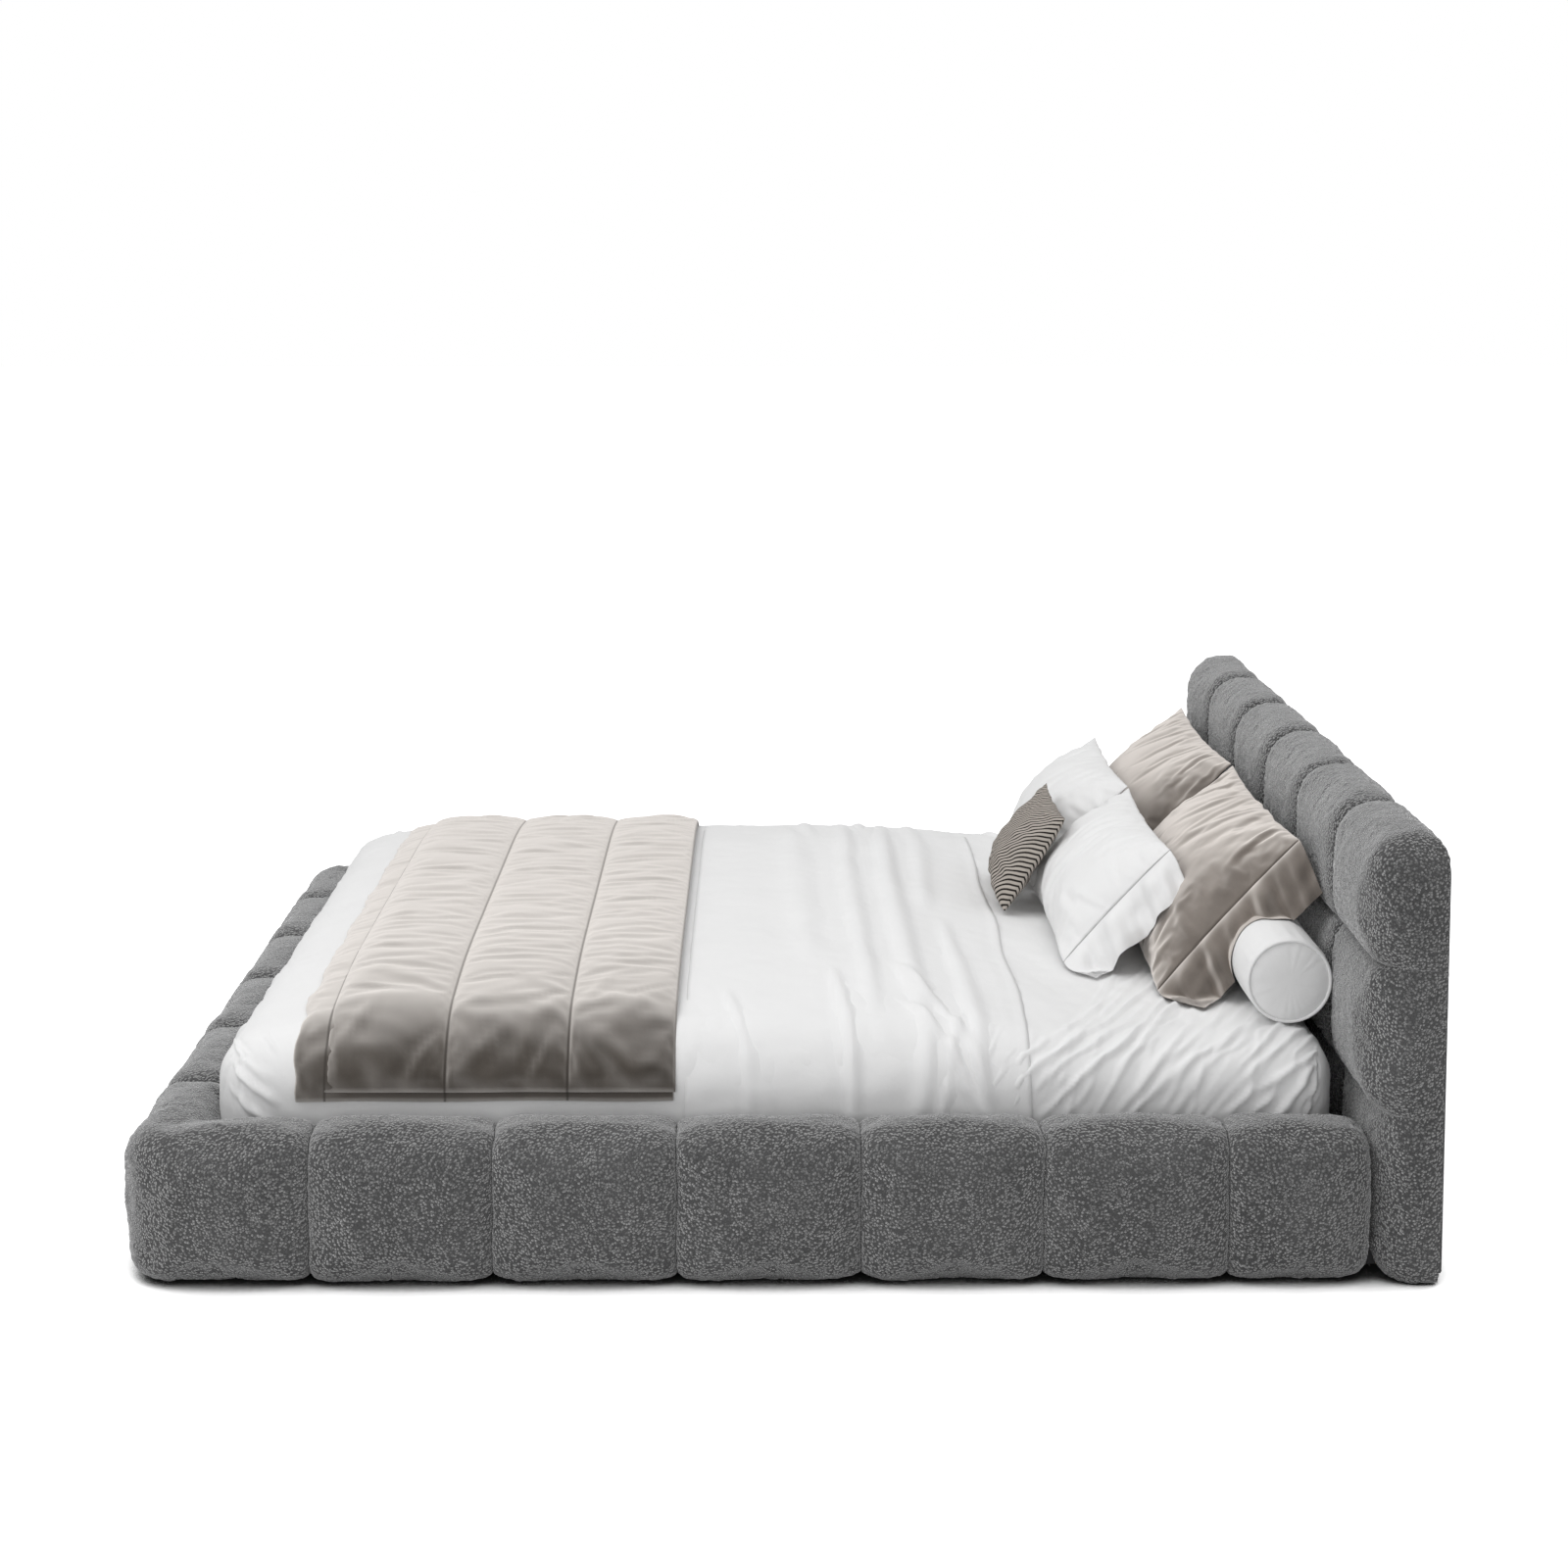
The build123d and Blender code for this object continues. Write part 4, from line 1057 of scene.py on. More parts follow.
def quilt_layer(name, run, seams, seam_height, crown, cell, seed, gathers):
    """A flat quilted layer: channels swell between seams that stay sewn down, with gathers across."""
    obj = cloth_band(name, run, seams[0], seams[-1], cell)
    points = points_of(obj.data)
    # the rows of cells crowd towards the seams
    span = (seams[-1] - seams[0]) / (len(seams) - 1)
    even = (points[:, 1] - seams[0]) / span
    even -= 0.62 * np.sin(2 * math.pi * even) / (2 * math.pi)
    points[:, 1] = np.interp(even, np.arange(len(seams)), seams)
    place = points[:, :2].copy()
    to_seam = np.min([np.abs(place[:, 1] - seam) for seam in seams], axis=0)
    widths = np.diff(seams)
    channel = np.clip(np.searchsorted(seams, place[:, 1]) - 1, 0, len(widths) - 1)
    share = np.clip((place[:, 1] - np.array(seams)[channel]) / widths[channel], 0, 1)
    arch = 0.62 * (1 - np.abs(2 * share - 1) ** 9) ** 0.5 + 0.38 * (1 - (2 * share - 1) ** 2)
    hem = smooth_step(0, 0.022, run - np.abs(place[:, 0]))
    puff = arch * (0.2 + 0.8 * hem)
    draw = np.random.default_rng(seed)
    lift = np.zeros(len(points))
    for number, (low, width) in enumerate(zip(seams, widths)):
        inside = channel == number
        here, total = place[inside], np.zeros(inside.sum())
        for _ in range(gathers):
            x = draw.uniform(-run, run)
            hanging = abs(x) > MATTRESS_HIGH[0] - 0.16
            from_low = draw.uniform() < 0.55
            start = low + width * (0.03 if from_low else 0.97)
            far = draw.uniform(0.3, 1.0) * (0.94 if from_low else -0.94) * width
            slant = draw.uniform(-1, 1) * (0.16 if hanging else 0.03)
            path = [(x, start), (x + 0.4 * slant, start + 0.5 * far), (x + slant, start + far)]
            height = draw.uniform(0.0004, 0.0014) * (1.8 if hanging else 1.0)
            breadth = draw.uniform(0.0065, 0.012) * (1.35 if hanging else 1.0)
            total += crease(here, path, breadth, height, fade=0.45)
        lift[inside] = total
    points[:, 2] = seam_height + crown * puff + np.clip(lift, -0.005, 0.007) * puff
    points[:, 2] += 0.0007 * waves(place, 0.12, seed + 1) * puff
    move_points(obj.data, points)
    pinned = (to_seam < 0.55 * cell) | (run - np.abs(place[:, 0]) < 0.55 * cell)
    make_cloth(obj, pinned, pressure=0.3, stretch=10.0, bend=0.05, mass=0.2, shrink=-0.009)
    moved = simulate([obj], 8)[0]
    moved[:, 2] = np.clip(moved[:, 2], seam_height - 0.0008, seam_height + 1.5 * crown)
    move_points(obj.data, moved)
    return obj


def close_under(obj, height, reach):
    """Close a quilted layer with a plain underside at one height, and carry it over the bed."""
    bm = bmesh.new()
    bm.from_mesh(obj.data)
    for vert in second_layer(bm):
        vert.co.z = height
    bmesh.ops.bridge_loops(bm, edges=[e for e in bm.edges if e.is_boundary])
    bm.to_mesh(obj.data)
    bm.free()
    move_points(obj.data, lay_over_bed(points_of(obj.data), reach))


class BED_OT_throw(bpy.types.Operator):
    """Lay the folded quilted throw across the foot half of the bed"""
    bl_idname = "bed.throw"
    bl_label = "Quilted Throw"

    def execute(self, context):
        cell = sizes().throw_cell
        upper_run = side_run(THROW_BOTTOM + 0.012, THROW_ROUND)
        under_run = side_run(THROW_BOTTOM, UNDER_ROUND)
        under_seams = (UNDER_FOOT, *THROW_SEAMS[1:3], -0.187)
        upper = quilt_layer("throw_upper", upper_run, THROW_SEAMS, THROW_SEAM_HEIGHT, THROW_CROWN, cell,
                            seed=41, gathers=150)
        under = quilt_layer("throw_under", under_run, under_seams, UNDER_SEAM_HEIGHT, UNDER_CROWN, cell,
                            seed=43, gathers=60)
        points = points_of(under.data)
        # the foot edge of the layer below wanders and is gathered a little
        loose, across = smooth_step(0.05, 0.0, points[:, 1] - UNDER_FOOT), points[:, :1]
        points[:, 1] += 0.0035 * loose * waves(across, 0.16, 44) + 0.0015 * loose * waves(across, 0.05, 45)
        covered = smooth_step(0.015, 0.045, points[:, 1] - THROW_SEAMS[0])
        points[:, 2] += covered * (UNDER_FLAT - points[:, 2])
        move_points(under.data, points)
        for layer, seed in ((upper, 46), (under, 47)):
            points = points_of(layer.data)
            hanging = smooth_step(0.80, 1.0, np.abs(points[:, 0]))
            points[:, 0] *= 1 + 0.006 * hanging * waves(points[:, 1:2], 0.24, seed, 3)
            move_points(layer.data, points)
        close_under(upper, THROW_UNDERSIDE, THROW_ROUND)
        close_under(under, UNDER_UNDERSIDE, UNDER_ROUND)
        bm = bmesh.new()
        for layer in (upper, under):
            stamp(bm, layer.data, Matrix.Identity(4))
        bmesh.ops.recalc_face_normals(bm, faces=bm.faces)
        throw = scratch("folded_throw", bm)
        drop(upper, under)
        finish_piece(throw, "throw_set", "taupe_velvet", throw_cloth(), "throw")
        return {"FINISHED"}


# Pillows

PILLOW_GATHERS = 64
# start x, length, bottom edge (y, z), top edge (y, z), front crown, back crown, length of the open flap
Pillow = namedtuple("Pillow", "start length bottom top front back flap")
BEIGE_LEAN = ((0.703, 0.391), (0.965, 0.680), 0.080, 0.022)
WHITE_LEAN = ((0.549, 0.391), (0.756, 0.616), 0.076, 0.020)
PILLOWS = {
    "beige_pillow_right": Pillow(-0.130, 0.655, *BEIGE_LEAN, 0.115),
    "beige_pillow_left": Pillow(-0.780, 0.640, *BEIGE_LEAN, 0.0),
    "white_pillow_right": Pillow(-0.200, 0.545, *WHITE_LEAN, 0.105),
    "white_pillow_left": Pillow(-0.745, 0.535, *WHITE_LEAN, 0.0),
    "striped_cushion": Pillow(-0.338, 0.345, (0.468, 0.397), (0.595, 0.597), 0.065, 0.024, 0.0),
}
FLAP_BEND = 0.05
# the way in which a flap hangs, and how it spreads where it meets the sheet
FLAP_HANG = (0, 0.35, -0.937)
FLAP_SPREAD = (0.45, 0.5, 1.0)


def pillow_bag(name, spec, seed, slope, nearer):
    """Two layers of cloth sewn round the edge and filled; a flap beyond the near seam stays open.

    The points are (along, up, out); where each lay in the flat cut is kept as flat_cloth. A lower slope
    makes the bag rise more steeply from its seams, and nearer puts more of its filling at the +X end.
    """
    cell, width, height = sizes().pillow_cell, spec.length, math.dist(spec.bottom, spec.top)
    columns, flap_columns, rows = (round(size / cell) for size in (width, spec.flap, height))
    full = width * (columns + flap_columns) / columns
    bm = cloth_grid(columns + flap_columns, rows, (0, 0), (full, height))
    behind = set(second_layer(bm))
    sewn = []
    for vert in bm.verts:
        u, v = vert.co.x, vert.co.y
        if min(v, height - v, u, abs(width - u)) < 1e-5:
            sewn.append(vert)
        else:
            vert.co.z = -0.001 if vert in behind else 0.001
    bmesh.ops.remove_doubles(bm, verts=sewn, dist=1e-5)
    obj = scratch(name, bm)
    flat = points_of(obj.data)
    kept = obj.data.attributes.new("flat_cloth", "FLOAT_VECTOR", "POINT")
    kept.data.foreach_set("vector", flat.astype(np.float32).ravel())
    a, b = 2 * flat[:, 0] / width - 1, 2 * flat[:, 1] / height - 1
    inside = a <= 1 + 1e-5
    a_in = np.clip(a, -1, 1)
    fill = ((1 - np.abs(a_in) ** 2.7) * (1 - np.abs(b) ** 2.4)) ** slope * (1 + nearer * a_in)
    points = flat.copy()
    # the sides draw in between the corners
    points[:, 0] -= np.where(inside, a_in * np.abs(a_in) ** 3, 1) * 0.022 * width * (1 - b * b)
    points[:, 1] -= b * np.abs(b) ** 3 * 0.03 * height * (1 - np.minimum(a_in * a_in, 1))
    draw = np.random.default_rng(seed)
    for sign, crown in ((1, spec.front), (-1, spec.back)):
        side = inside & (sign * flat[:, 2] > 0)
        place, lift = flat[side, :2], np.zeros(side.sum())
        for _ in range(PILLOW_GATHERS):
            # gathers run in from the sewn edges
            edge, at, reach = draw.integers(4), draw.uniform(0.02, 0.98), draw.uniform(0.06, 0.22)
            slant = draw.uniform(-0.35, 0.35) * reach
            x, y = (at * width, 0) if edge < 2 else (0, at * height)
            inward = np.array((slant, reach) if edge < 2 else (reach, slant))
            start = np.array((x, y))
            if edge % 2:
                start, inward = np.array((width, height)) - start, -inward
            path = [start, start + 0.5 * inward + draw.uniform(-0.006, 0.006, 2), start + inward]
            lift += crease(place, path, draw.uniform(0.0065, 0.011), draw.uniform(0.0012, 0.0038), fade=0.5)
        puffed = crown * fill[side] * (1 + 0.03 * waves(place, 0.09, seed))
        points[side, 2] = sign * (puffed + np.clip(lift, -0.004, 0.006) * np.minimum(1, 6 * fill[side]))
    up = flat[:, 1:2]
    folds = 0.013 * waves(up, 0.095, seed + 2, 3) + 0.004 * waves(up, 0.034, seed + 1, 4)
    folds += 0.003 * waves(flat[:, :2], 0.06, seed + 3)
    hang = smooth_step(0, 0.06, flat[:, 0] - width)
    points[:, 2] = np.where(inside, points[:, 2], flat[:, 2] + folds * hang)
    move_points(obj.data, points)
    pinned = (flat[:, 2] == 0) | ~inside
    return obj, pinned


def lean_pillow(obj, points, spec, fall):
    """Set a filled bag in its place, leaning back, with its flap hanging from the near seam."""
    bottom = spec.bottom
    rise = np.array(spec.top) - np.array(bottom)
    height = np.linalg.norm(rise)
    rise /= height
    out = np.array((-rise[1], rise[0]))
    u, v, w = points[:, 0].copy(), points[:, 1], points[:, 2].copy()
    inside = obj_flat(obj)[:, 0] <= spec.length + 1e-5
    for sign, crown in ((1, spec.front), (-1, spec.back)):
        side = inside & (sign * w > 0)
        w[side] *= crown / np.abs(w[side]).max()
    w[inside] *= (1.1 - 0.25 * v / height)[inside]
    y = bottom[0] + v * rise[0] + w * out[0]
    z = bottom[1] + v * rise[1] + w * out[1]
    placed = np.stack([spec.start + u, y, z], axis=1)
    if spec.flap:
        hanging = hang_flap(obj, points, spec, rise, fall)
        placed = np.where(inside[:, None], placed, keep_clear(hanging))
    move_points(obj.data, placed)


def hang_flap(obj, points, spec, rise, fall):
    """Where the open flap's points hang, bent over from the seam and spread on the sheet below."""
    flat, bottom = obj_flat(obj), spec.bottom
    beyond = np.maximum(flat[:, 0] - spec.length, 0)
    turn = fall * np.minimum(beyond / FLAP_BEND, 1)
    straight = np.maximum(beyond - FLAP_BEND, 0)
    ahead = FLAP_BEND / fall * np.sin(turn) + straight * math.cos(fall)
    down = FLAP_BEND / fall * (1 - np.cos(turn)) + straight * math.sin(fall)
    seam = np.stack([
        np.full(len(flat), spec.start + spec.length) + points[:, 0] - flat[:, 0],
        bottom[0] + points[:, 1] * rise[0],
        bottom[1] + points[:, 1] * rise[1],
    ], axis=1)
    along, hang = np.array((1.0, 0, 0)), np.array(FLAP_HANG)
    across = along * np.cos(turn)[:, None] + hang * np.sin(turn)[:, None]
    out = np.cross(across, np.array((0, *rise)))
    out /= np.linalg.norm(out, axis=1, keepdims=True)
    placed = seam + along * ahead[:, None] + hang * down[:, None] + out * points[:, 2:]
    sunk = np.maximum(FITTED_HIGH[2] + 0.008 - placed[:, 2], 0)
    return placed + sunk[:, None] * np.array(FLAP_SPREAD)


def keep_clear(points):
    """Push points out of the bolster and off the sheet."""
    middle = np.array([(BOLSTER_LOW[k] + BOLSTER_HIGH[k]) / 2 for k in (1, 2)])
    radius = (BOLSTER_HIGH[2] - BOLSTER_LOW[2]) / 2 + 0.004
    away = points[:, 1:] - middle
    far = np.linalg.norm(away, axis=1, keepdims=True)
    pushed = points.copy()
    pushed[:, 1:] = middle + away * np.maximum(radius / np.maximum(far, 1e-6), 1)
    pushed[:, 2] = np.maximum(pushed[:, 2], FITTED_HIGH[2] + 0.006)
    return pushed


def obj_flat(obj):
    """Where a pillow's points lay in its flat cut."""
    data = obj.data.attributes["flat_cloth"].data
    flat = np.empty(3 * len(data), dtype=np.float32)
    data.foreach_get("vector", flat)
    return flat.reshape(-1, 3)


def fill_pillows(names):
    """Sew and fill the named pillows, let their slack cloth settle together, and set them in place."""
    bags, pins = [], []
    for number, name in enumerate(names):
        slope, nearer = (0.46, 0.5) if name == "striped_cushion" else (0.6, 0.0)
        bag, pinned = pillow_bag(f"{name}_cloth", PILLOWS[name], 50 + 7 * number, slope, nearer)
        bags.append(bag)
        pins.append(pinned)
    for bag, pinned in zip(bags, pins):
        make_cloth(bag, pinned, pressure=1.5, stretch=12.0, bend=0.03, mass=0.15, shrink=-0.05)
    shapes = simulate(bags, 20)
    for name, bag, shape in zip(names, bags, shapes):
        lean_pillow(bag, shape, PILLOWS[name], 1.2 if name.startswith("beige") else 1.0)
        smooth = bag.modifiers.new("Smooth", "SUBSURF")
        smooth.levels = smooth.render_levels = 1
    return bags


class BED_OT_pillows(bpy.types.Operator):
    """Fill the beige and white pillows and lean them in their two rows"""
    bl_idname = "bed.pillows"
    bl_label = "Pillows"

    def execute(self, context):
        names = ["beige_pillow_right", "beige_pillow_left", "white_pillow_right", "white_pillow_left"]
        for name, bag in zip(names, fill_pillows(names)):
            if name.startswith("beige"):
                finish_piece(bag, "pillow_set", "beige_velvet", pillow_velvet(), name)
            else:
                finish_piece(bag, "pillow_set", "white_linen", linen_cloth(), name)
        return {"FINISHED"}


class BED_OT_cushion(bpy.types.Operator):
    """Fill the small striped cushion and set it against the white pillows"""
    bl_idname = "bed.cushion"
    bl_label = "Striped Cushion"

    def execute(self, context):
        bag = fill_pillows(["striped_cushion"])[0]
        finish_piece(bag, "cushion_set", "striped_cloth", striped_cloth(), "striped_cushion")
        return {"FINISHED"}


PIPING_RADIUS = 0.0032
# the piping's middle lies this far inside the bolster's round and its end
PIPING_INSET = (0.0045, 0.0068)


def spin_round(bm):
    """Turn a profile once round X and close it."""
    bmesh.ops.spin(bm, geom=[*bm.verts, *bm.edges], cent=(0, 0, 0), axis=(1, 0, 0),
                   angle=2 * math.pi, steps=88, use_merge=True)
    bmesh.ops.remove_doubles(bm, verts=bm.verts, dist=1e-6)
    bmesh.ops.recalc_face_normals(bm, faces=bm.faces)


def piping_ring(radius, x):
    """The piping sewn round one end of the bolster."""
    ring = bmesh.new()
    middle = (0, 0, radius - PIPING_INSET[0])
    quarter = math.pi / 2
    upright = Matrix.Translation(middle) @ Matrix.Rotation(quarter, 4, "Y")
    bmesh.ops.create_circle(ring, segments=8, radius=PIPING_RADIUS, matrix=upright)
    bmesh.ops.rotate(ring, verts=ring.verts, cent=middle, matrix=Matrix.Rotation(quarter, 3, "Z"))
    bmesh.ops.translate(ring, verts=ring.verts, vec=(x, 0, 0))
    spin_round(ring)
    return ring


class BED_OT_bolster(bpy.types.Operator):
    """Turn the bolster, with piped ends and a few pulls in its cover"""
    bl_idname = "bed.bolster"
    bl_label = "Bolster"

    def execute(self, context):
        centre = [(a + b) / 2 for a, b in zip(BOLSTER_LOW, BOLSTER_HIGH)]
        half, _, radius = ((b - a) / 2 for a, b in zip(BOLSTER_LOW, BOLSTER_HIGH))
        bm = bmesh.new()
        profile = [(half - 0.001, 0.0), (half, 0.02), (half - 0.002, 0.05), (half - 0.006, radius - 0.010),
                   (half - 0.010, radius - 0.004), (half - 0.017, radius - 0.001), (half - 0.03, radius)]
        line = [*profile, *[(-x, r) for x, r in reversed(profile)]]
        verts = [bm.verts.new((x, 0, r)) for x, r in line]
        edges = [bm.edges.new(pair) for pair in zip(verts, verts[1:])]
        long_edge = max(edges, key=lambda e: e.calc_length())
        bmesh.ops.subdivide_edges(bm, edges=[long_edge], cuts=130)
        spin_round(bm)
        body = scratch("bolster_cloth", bm)
        points = points_of(body.data)
        normals = normals_of(body.data)
        angle = np.arctan2(points[:, 1], points[:, 2])
        from_end = half - np.abs(points[:, 0])
        ring = np.linalg.norm(points[:, 1:], axis=1)
        gather = waves(np.stack([np.cos(angle), np.sin(angle)], axis=1), 0.25, 61, 9)
        lift = 0.0016 * gather * np.exp(-from_end / 0.05) * smooth_step(0.01, 0.03, from_end)
        lift += 0.0015 * waves(points, 0.2, 62) * smooth_step(0.02, 0.1, from_end)
        lift -= 0.0008 * gather * smooth_step(0.03, 0.07, ring) * (from_end < 0.009)
        points += normals * lift[:, None]
        move_points(body.data, points)
        bm = bmesh.new()
        stamp(bm, body.data, Matrix.Translation(centre))
        for end in (-1, 1):
            stamp_part(bm, piping_ring(radius, end * (half - PIPING_INSET[1])), Matrix.Translation(centre))
        drop(body)
        roll = scratch("bolster_roll", bm)
        finish_piece(roll, "pillow_set", "white_linen", linen_cloth(), "bolster")
        return {"FINISHED"}


# Materials

def made_once(name):
    """Let a function that wires a shader give the named material, wired when it is first asked for."""
    def wrap(wire):
        def give(*values, name=name):
            material = bpy.data.materials.get(name)
            if material is None:
                material = bpy.data.materials.new(name)
                material.use_nodes = True
                wire(material.node_tree, material.node_tree.nodes["Principled BSDF"], *values)
            return material
        return give
    return wrap


def plug(tree, socket, value):
    """Link a socket to another node's output, or give it a plain value."""
    if isinstance(value, bpy.types.NodeSocket):
        tree.links.new(value, socket)
    else:
        socket.default_value = value


def plug_all(tree, node, inputs):
    for key, value in inputs.items():
        plug(tree, node.inputs[key], value)


def add_node(tree, kind, inputs=None, **settings):
    """A node with its settings and socket values; a socket value may be another node's output."""
    node = tree.nodes.new(kind)
    for key, value in settings.items():
        setattr(node, key, value)
    plug_all(tree, node, inputs or {})
    return node


def maths(tree, operation, first, second=0.0):
    return add_node(tree, "ShaderNodeMath", {0: first, 1: second}, operation=operation).outputs[0]


def weighted(tree, *shares):
    """The sum of values, each times its weight."""
    parts = [maths(tree, "MULTIPLY", value, weight) for value, weight in shares]
    total = parts[0]
    for part in parts[1:]:
        total = maths(tree, "ADD", total, part)
    return total


def blend_colour(tree, factor, first, second):
    mix = add_node(tree, "ShaderNodeMix", {0: factor}, data_type="RGBA")
    for index, value in ((6, first), (7, second)):
        plug(tree, mix.inputs[index], value if isinstance(value, bpy.types.NodeSocket) else (*value, 1))
    return mix.outputs[2]


def times(colour, factor):
    return tuple(factor * c for c in colour)


def stretch_range(tree, value, low, high, to_low=0.0, to_high=1.0):
    return add_node(tree, "ShaderNodeMapRange", {
        "Value": value, "From Min": low, "From Max": high, "To Min": to_low, "To Max": to_high,
    }).outputs["Result"]


def bump(tree, shader, height, strength, distance):
    node = add_node(tree, "ShaderNodeBump", {"Height": height, "Strength": strength, "Distance": distance})
    tree.links.new(node.outputs["Normal"], shader.inputs["Normal"])


def object_place(tree):
    return add_node(tree, "ShaderNodeTexCoord").outputs["Object"]


def noise(tree, place, scale, detail, **inputs):
    values = {"Vector": place, "Scale": scale, "Detail": detail, **inputs}
    return add_node(tree, "ShaderNodeTexNoise", values).outputs["Fac"]


def turned_away(tree):
    """0 where the surface faces the viewer, 1 where it turns away."""
    return add_node(tree, "ShaderNodeLayerWeight", {"Blend": 0.5}).outputs["Facing"]


def group_once(name, inputs, outputs, wire):
    """The shader node group of this name, with its sockets; it is wired when it is first asked for."""
    if name not in bpy.data.node_groups:
        group = bpy.data.node_groups.new(name, "ShaderNodeTree")
        for label in inputs:
            kind = "NodeSocketVector" if label == "Place" else "NodeSocketFloat"
            group.interface.new_socket(label, in_out="INPUT", socket_type=kind)
        for label in outputs:
            group.interface.new_socket(label, in_out="OUTPUT", socket_type="NodeSocketFloat")
        start, end = group.nodes.new("NodeGroupInput"), group.nodes.new("NodeGroupOutput")
        for index, value in enumerate(wire(group, *start.outputs[:len(inputs)])):
            group.links.new(value, end.inputs[index])
    return bpy.data.node_groups[name]


def wire_patches(group, place, patch_scale, speck_scale):
    patches = noise(group, place, patch_scale, 3.0, Roughness=0.55)
    return patches, noise(group, place, speck_scale, 2.0, Roughness=0.6)


def patchy(tree, place, patch_scale, speck_scale):
    """Slow patches and fine specks, for cloth and timber that isn't one even colour."""
    values = {"Place": place, "Patch Scale": patch_scale, "Speck Scale": speck_scale}
    group = group_once("Patchy", tuple(values), ("Patches", "Specks"), wire_patches)
    return add_node(tree, "ShaderNodeGroup", values, node_tree=group).outputs


def wire_threads(group, place, threads):
    x, y, z = (
        add_node(group, "ShaderNodeTexWave",
                 {"Vector": place, "Scale": threads, "Distortion": 1.2, "Detail": 1.0},
                 wave_type="BANDS", bands_direction=direction).outputs["Fac"]
        for direction in "XYZ"
    )
    return tuple(maths(group, kind, maths(group, kind, x, y), z) for kind in ("MAXIMUM", "MULTIPLY"))


def weave(tree, place, threads):
    """Crossing threads: a height for the bump and a mask of the gaps between threads."""
    values = {"Place": place, "Threads": threads}
    group = group_once("Weave", tuple(values), ("Height", "Gaps"), wire_threads)
    return add_node(tree, "ShaderNodeGroup", values, node_tree=group).outputs


@made_once("looped_cloth")
def loop_cloth(tree, shader):
    """Grey cloth of curled loops whose tone changes from loop to loop, with painted highlights on their
    tops, painted shade between them and a painted sheen where it turns from the viewer.
    """
    place = object_place(tree)
    curls = add_node(tree, "ShaderNodeTexVoronoi", {"Vector": place, "Scale": 212.0})
    # painted highlight and shade: dome brightens the middle of each loop and darkens the ground between
    # loops; each loop's own tone also differs at random
    dome = stretch_range(tree, curls.outputs["Distance"], 0.08, 0.6, 1.0, 0.0)
    each = add_node(tree, "ShaderNodeSeparateColor", {0: curls.outputs["Color"]}).outputs[0]
    spark = maths(tree, "MULTIPLY", dome, stretch_range(tree, each, 0.3, 0.95))
    uneven = patchy(tree, place, 7.0, 420.0)
    slow = maths(tree, "SUBTRACT", uneven["Patches"], 0.5)
    tone = weighted(tree, (dome, 0.34), (spark, 0.66), (slow, 0.15), (uneven["Specks"], 0.2))
    dark, light = colours().loop_dark, colours().loop_light
    colour = blend_colour(tree, tone, dark, light)
    # painted sheen: where the surface turns from the viewer, the colour is blended to a lighter copy
    painted_sheen_colour = blend_colour(tree, tone, times(dark, 5.9), times(light, 1.7))
    colour = blend_colour(tree, stretch_range(tree, turned_away(tree), 0.35, 0.95), colour, painted_sheen_colour)
    plug_all(tree, shader, {
        "Base Color": colour, "Roughness": 0.95, "Specular IOR Level": 0.15, "Sheen Weight": 0.85,
        "Sheen Roughness": 0.42,
    })
    bump(tree, shader, weighted(tree, (dome, 0.7), (spark, 0.6)), 1.0, 0.006)


@made_once("bed_linen")
def linen_cloth(tree, shader):
    """White linen: a fine weave, soft crumples and a little unevenness."""
    place = object_place(tree)
    uneven, threads = patchy(tree, place, 9.0, 60.0), weave(tree, place, 420.0)
    tone = weighted(tree, (uneven["Patches"], 0.7), (threads["Gaps"], 0.3))
    colour = blend_colour(tree, tone, colours().linen, times(colours().linen, 0.94))
    plug_all(tree, shader, {
        "Base Color": colour, "Roughness": 0.85, "Specular IOR Level": 0.2, "Sheen Weight": 0.08,
    })
    bump(tree, shader, weighted(tree, (uneven["Specks"], 1.0), (threads["Height"], 0.12)), 0.25, 0.003)


@made_once("velvet")
def velvet_cloth(tree, shader, base, edge, turned, rise, seams=()):
    """Velvet: dark head-on, blended to edge, a painted sheen, where it turns from the viewer; its nap
    varies in tone from patch to patch.

    It is brightest from turned on, and a lower rise brightens it sooner. Along a seam, given by its place
    on Y, it is darker: painted shade in the seam's groove.
    """
    place = object_place(tree)
    nap = patchy(tree, place, 14.0, 500.0)
    tone = weighted(tree, (nap["Patches"], 0.75), (nap["Specks"], 0.25))
    pile = blend_colour(tree, stretch_range(tree, tone, 0.3, 0.7), times(base, 0.78), times(base, 1.18))
    # painted sheen: the colour is blended to edge where the surface turns from the viewer
    sheen = maths(tree, "POWER", stretch_range(tree, turned_away(tree), 0.0, turned), rise)
    colour = blend_colour(tree, sheen, pile, edge)
    if seams:
        y = add_node(tree, "ShaderNodeSeparateXYZ", {0: place}).outputs["Y"]
        away = [maths(tree, "ABSOLUTE", maths(tree, "SUBTRACT", y, seam)) for seam in seams]
        nearest = away[0]
        for other in away[1:]:
            nearest = maths(tree, "MINIMUM", nearest, other)
        # painted shade: darker close to each seam, in its groove
        sewn = stretch_range(tree, nearest, 0.0008, 0.0034, 0.62, 0.0)
        colour = blend_colour(tree, sewn, colour, times(base, 0.5))
    plug_all(tree, shader, {
        "Base Color": colour, "Roughness": 0.8, "Specular IOR Level": 0.2, "Sheen Weight": 0.5,
        "Sheen Roughness": 0.3, "Sheen Tint": (1.0, 0.96, 0.93, 1),
    })
    bump(tree, shader, weighted(tree, (nap["Specks"], 1.0), (nap["Patches"], 2.0)), 0.2, 0.002)


def throw_cloth():
    return velvet_cloth(colours().taupe, colours().taupe_painted_sheen, 0.9, 0.92, THROW_SEAMS, name="velvet_taupe")


def pillow_velvet():
    return velvet_cloth(colours().beige, colours().beige_painted_sheen, 0.8, 2.2, name="velvet_beige")


STRIPE_PITCH = 0.0111


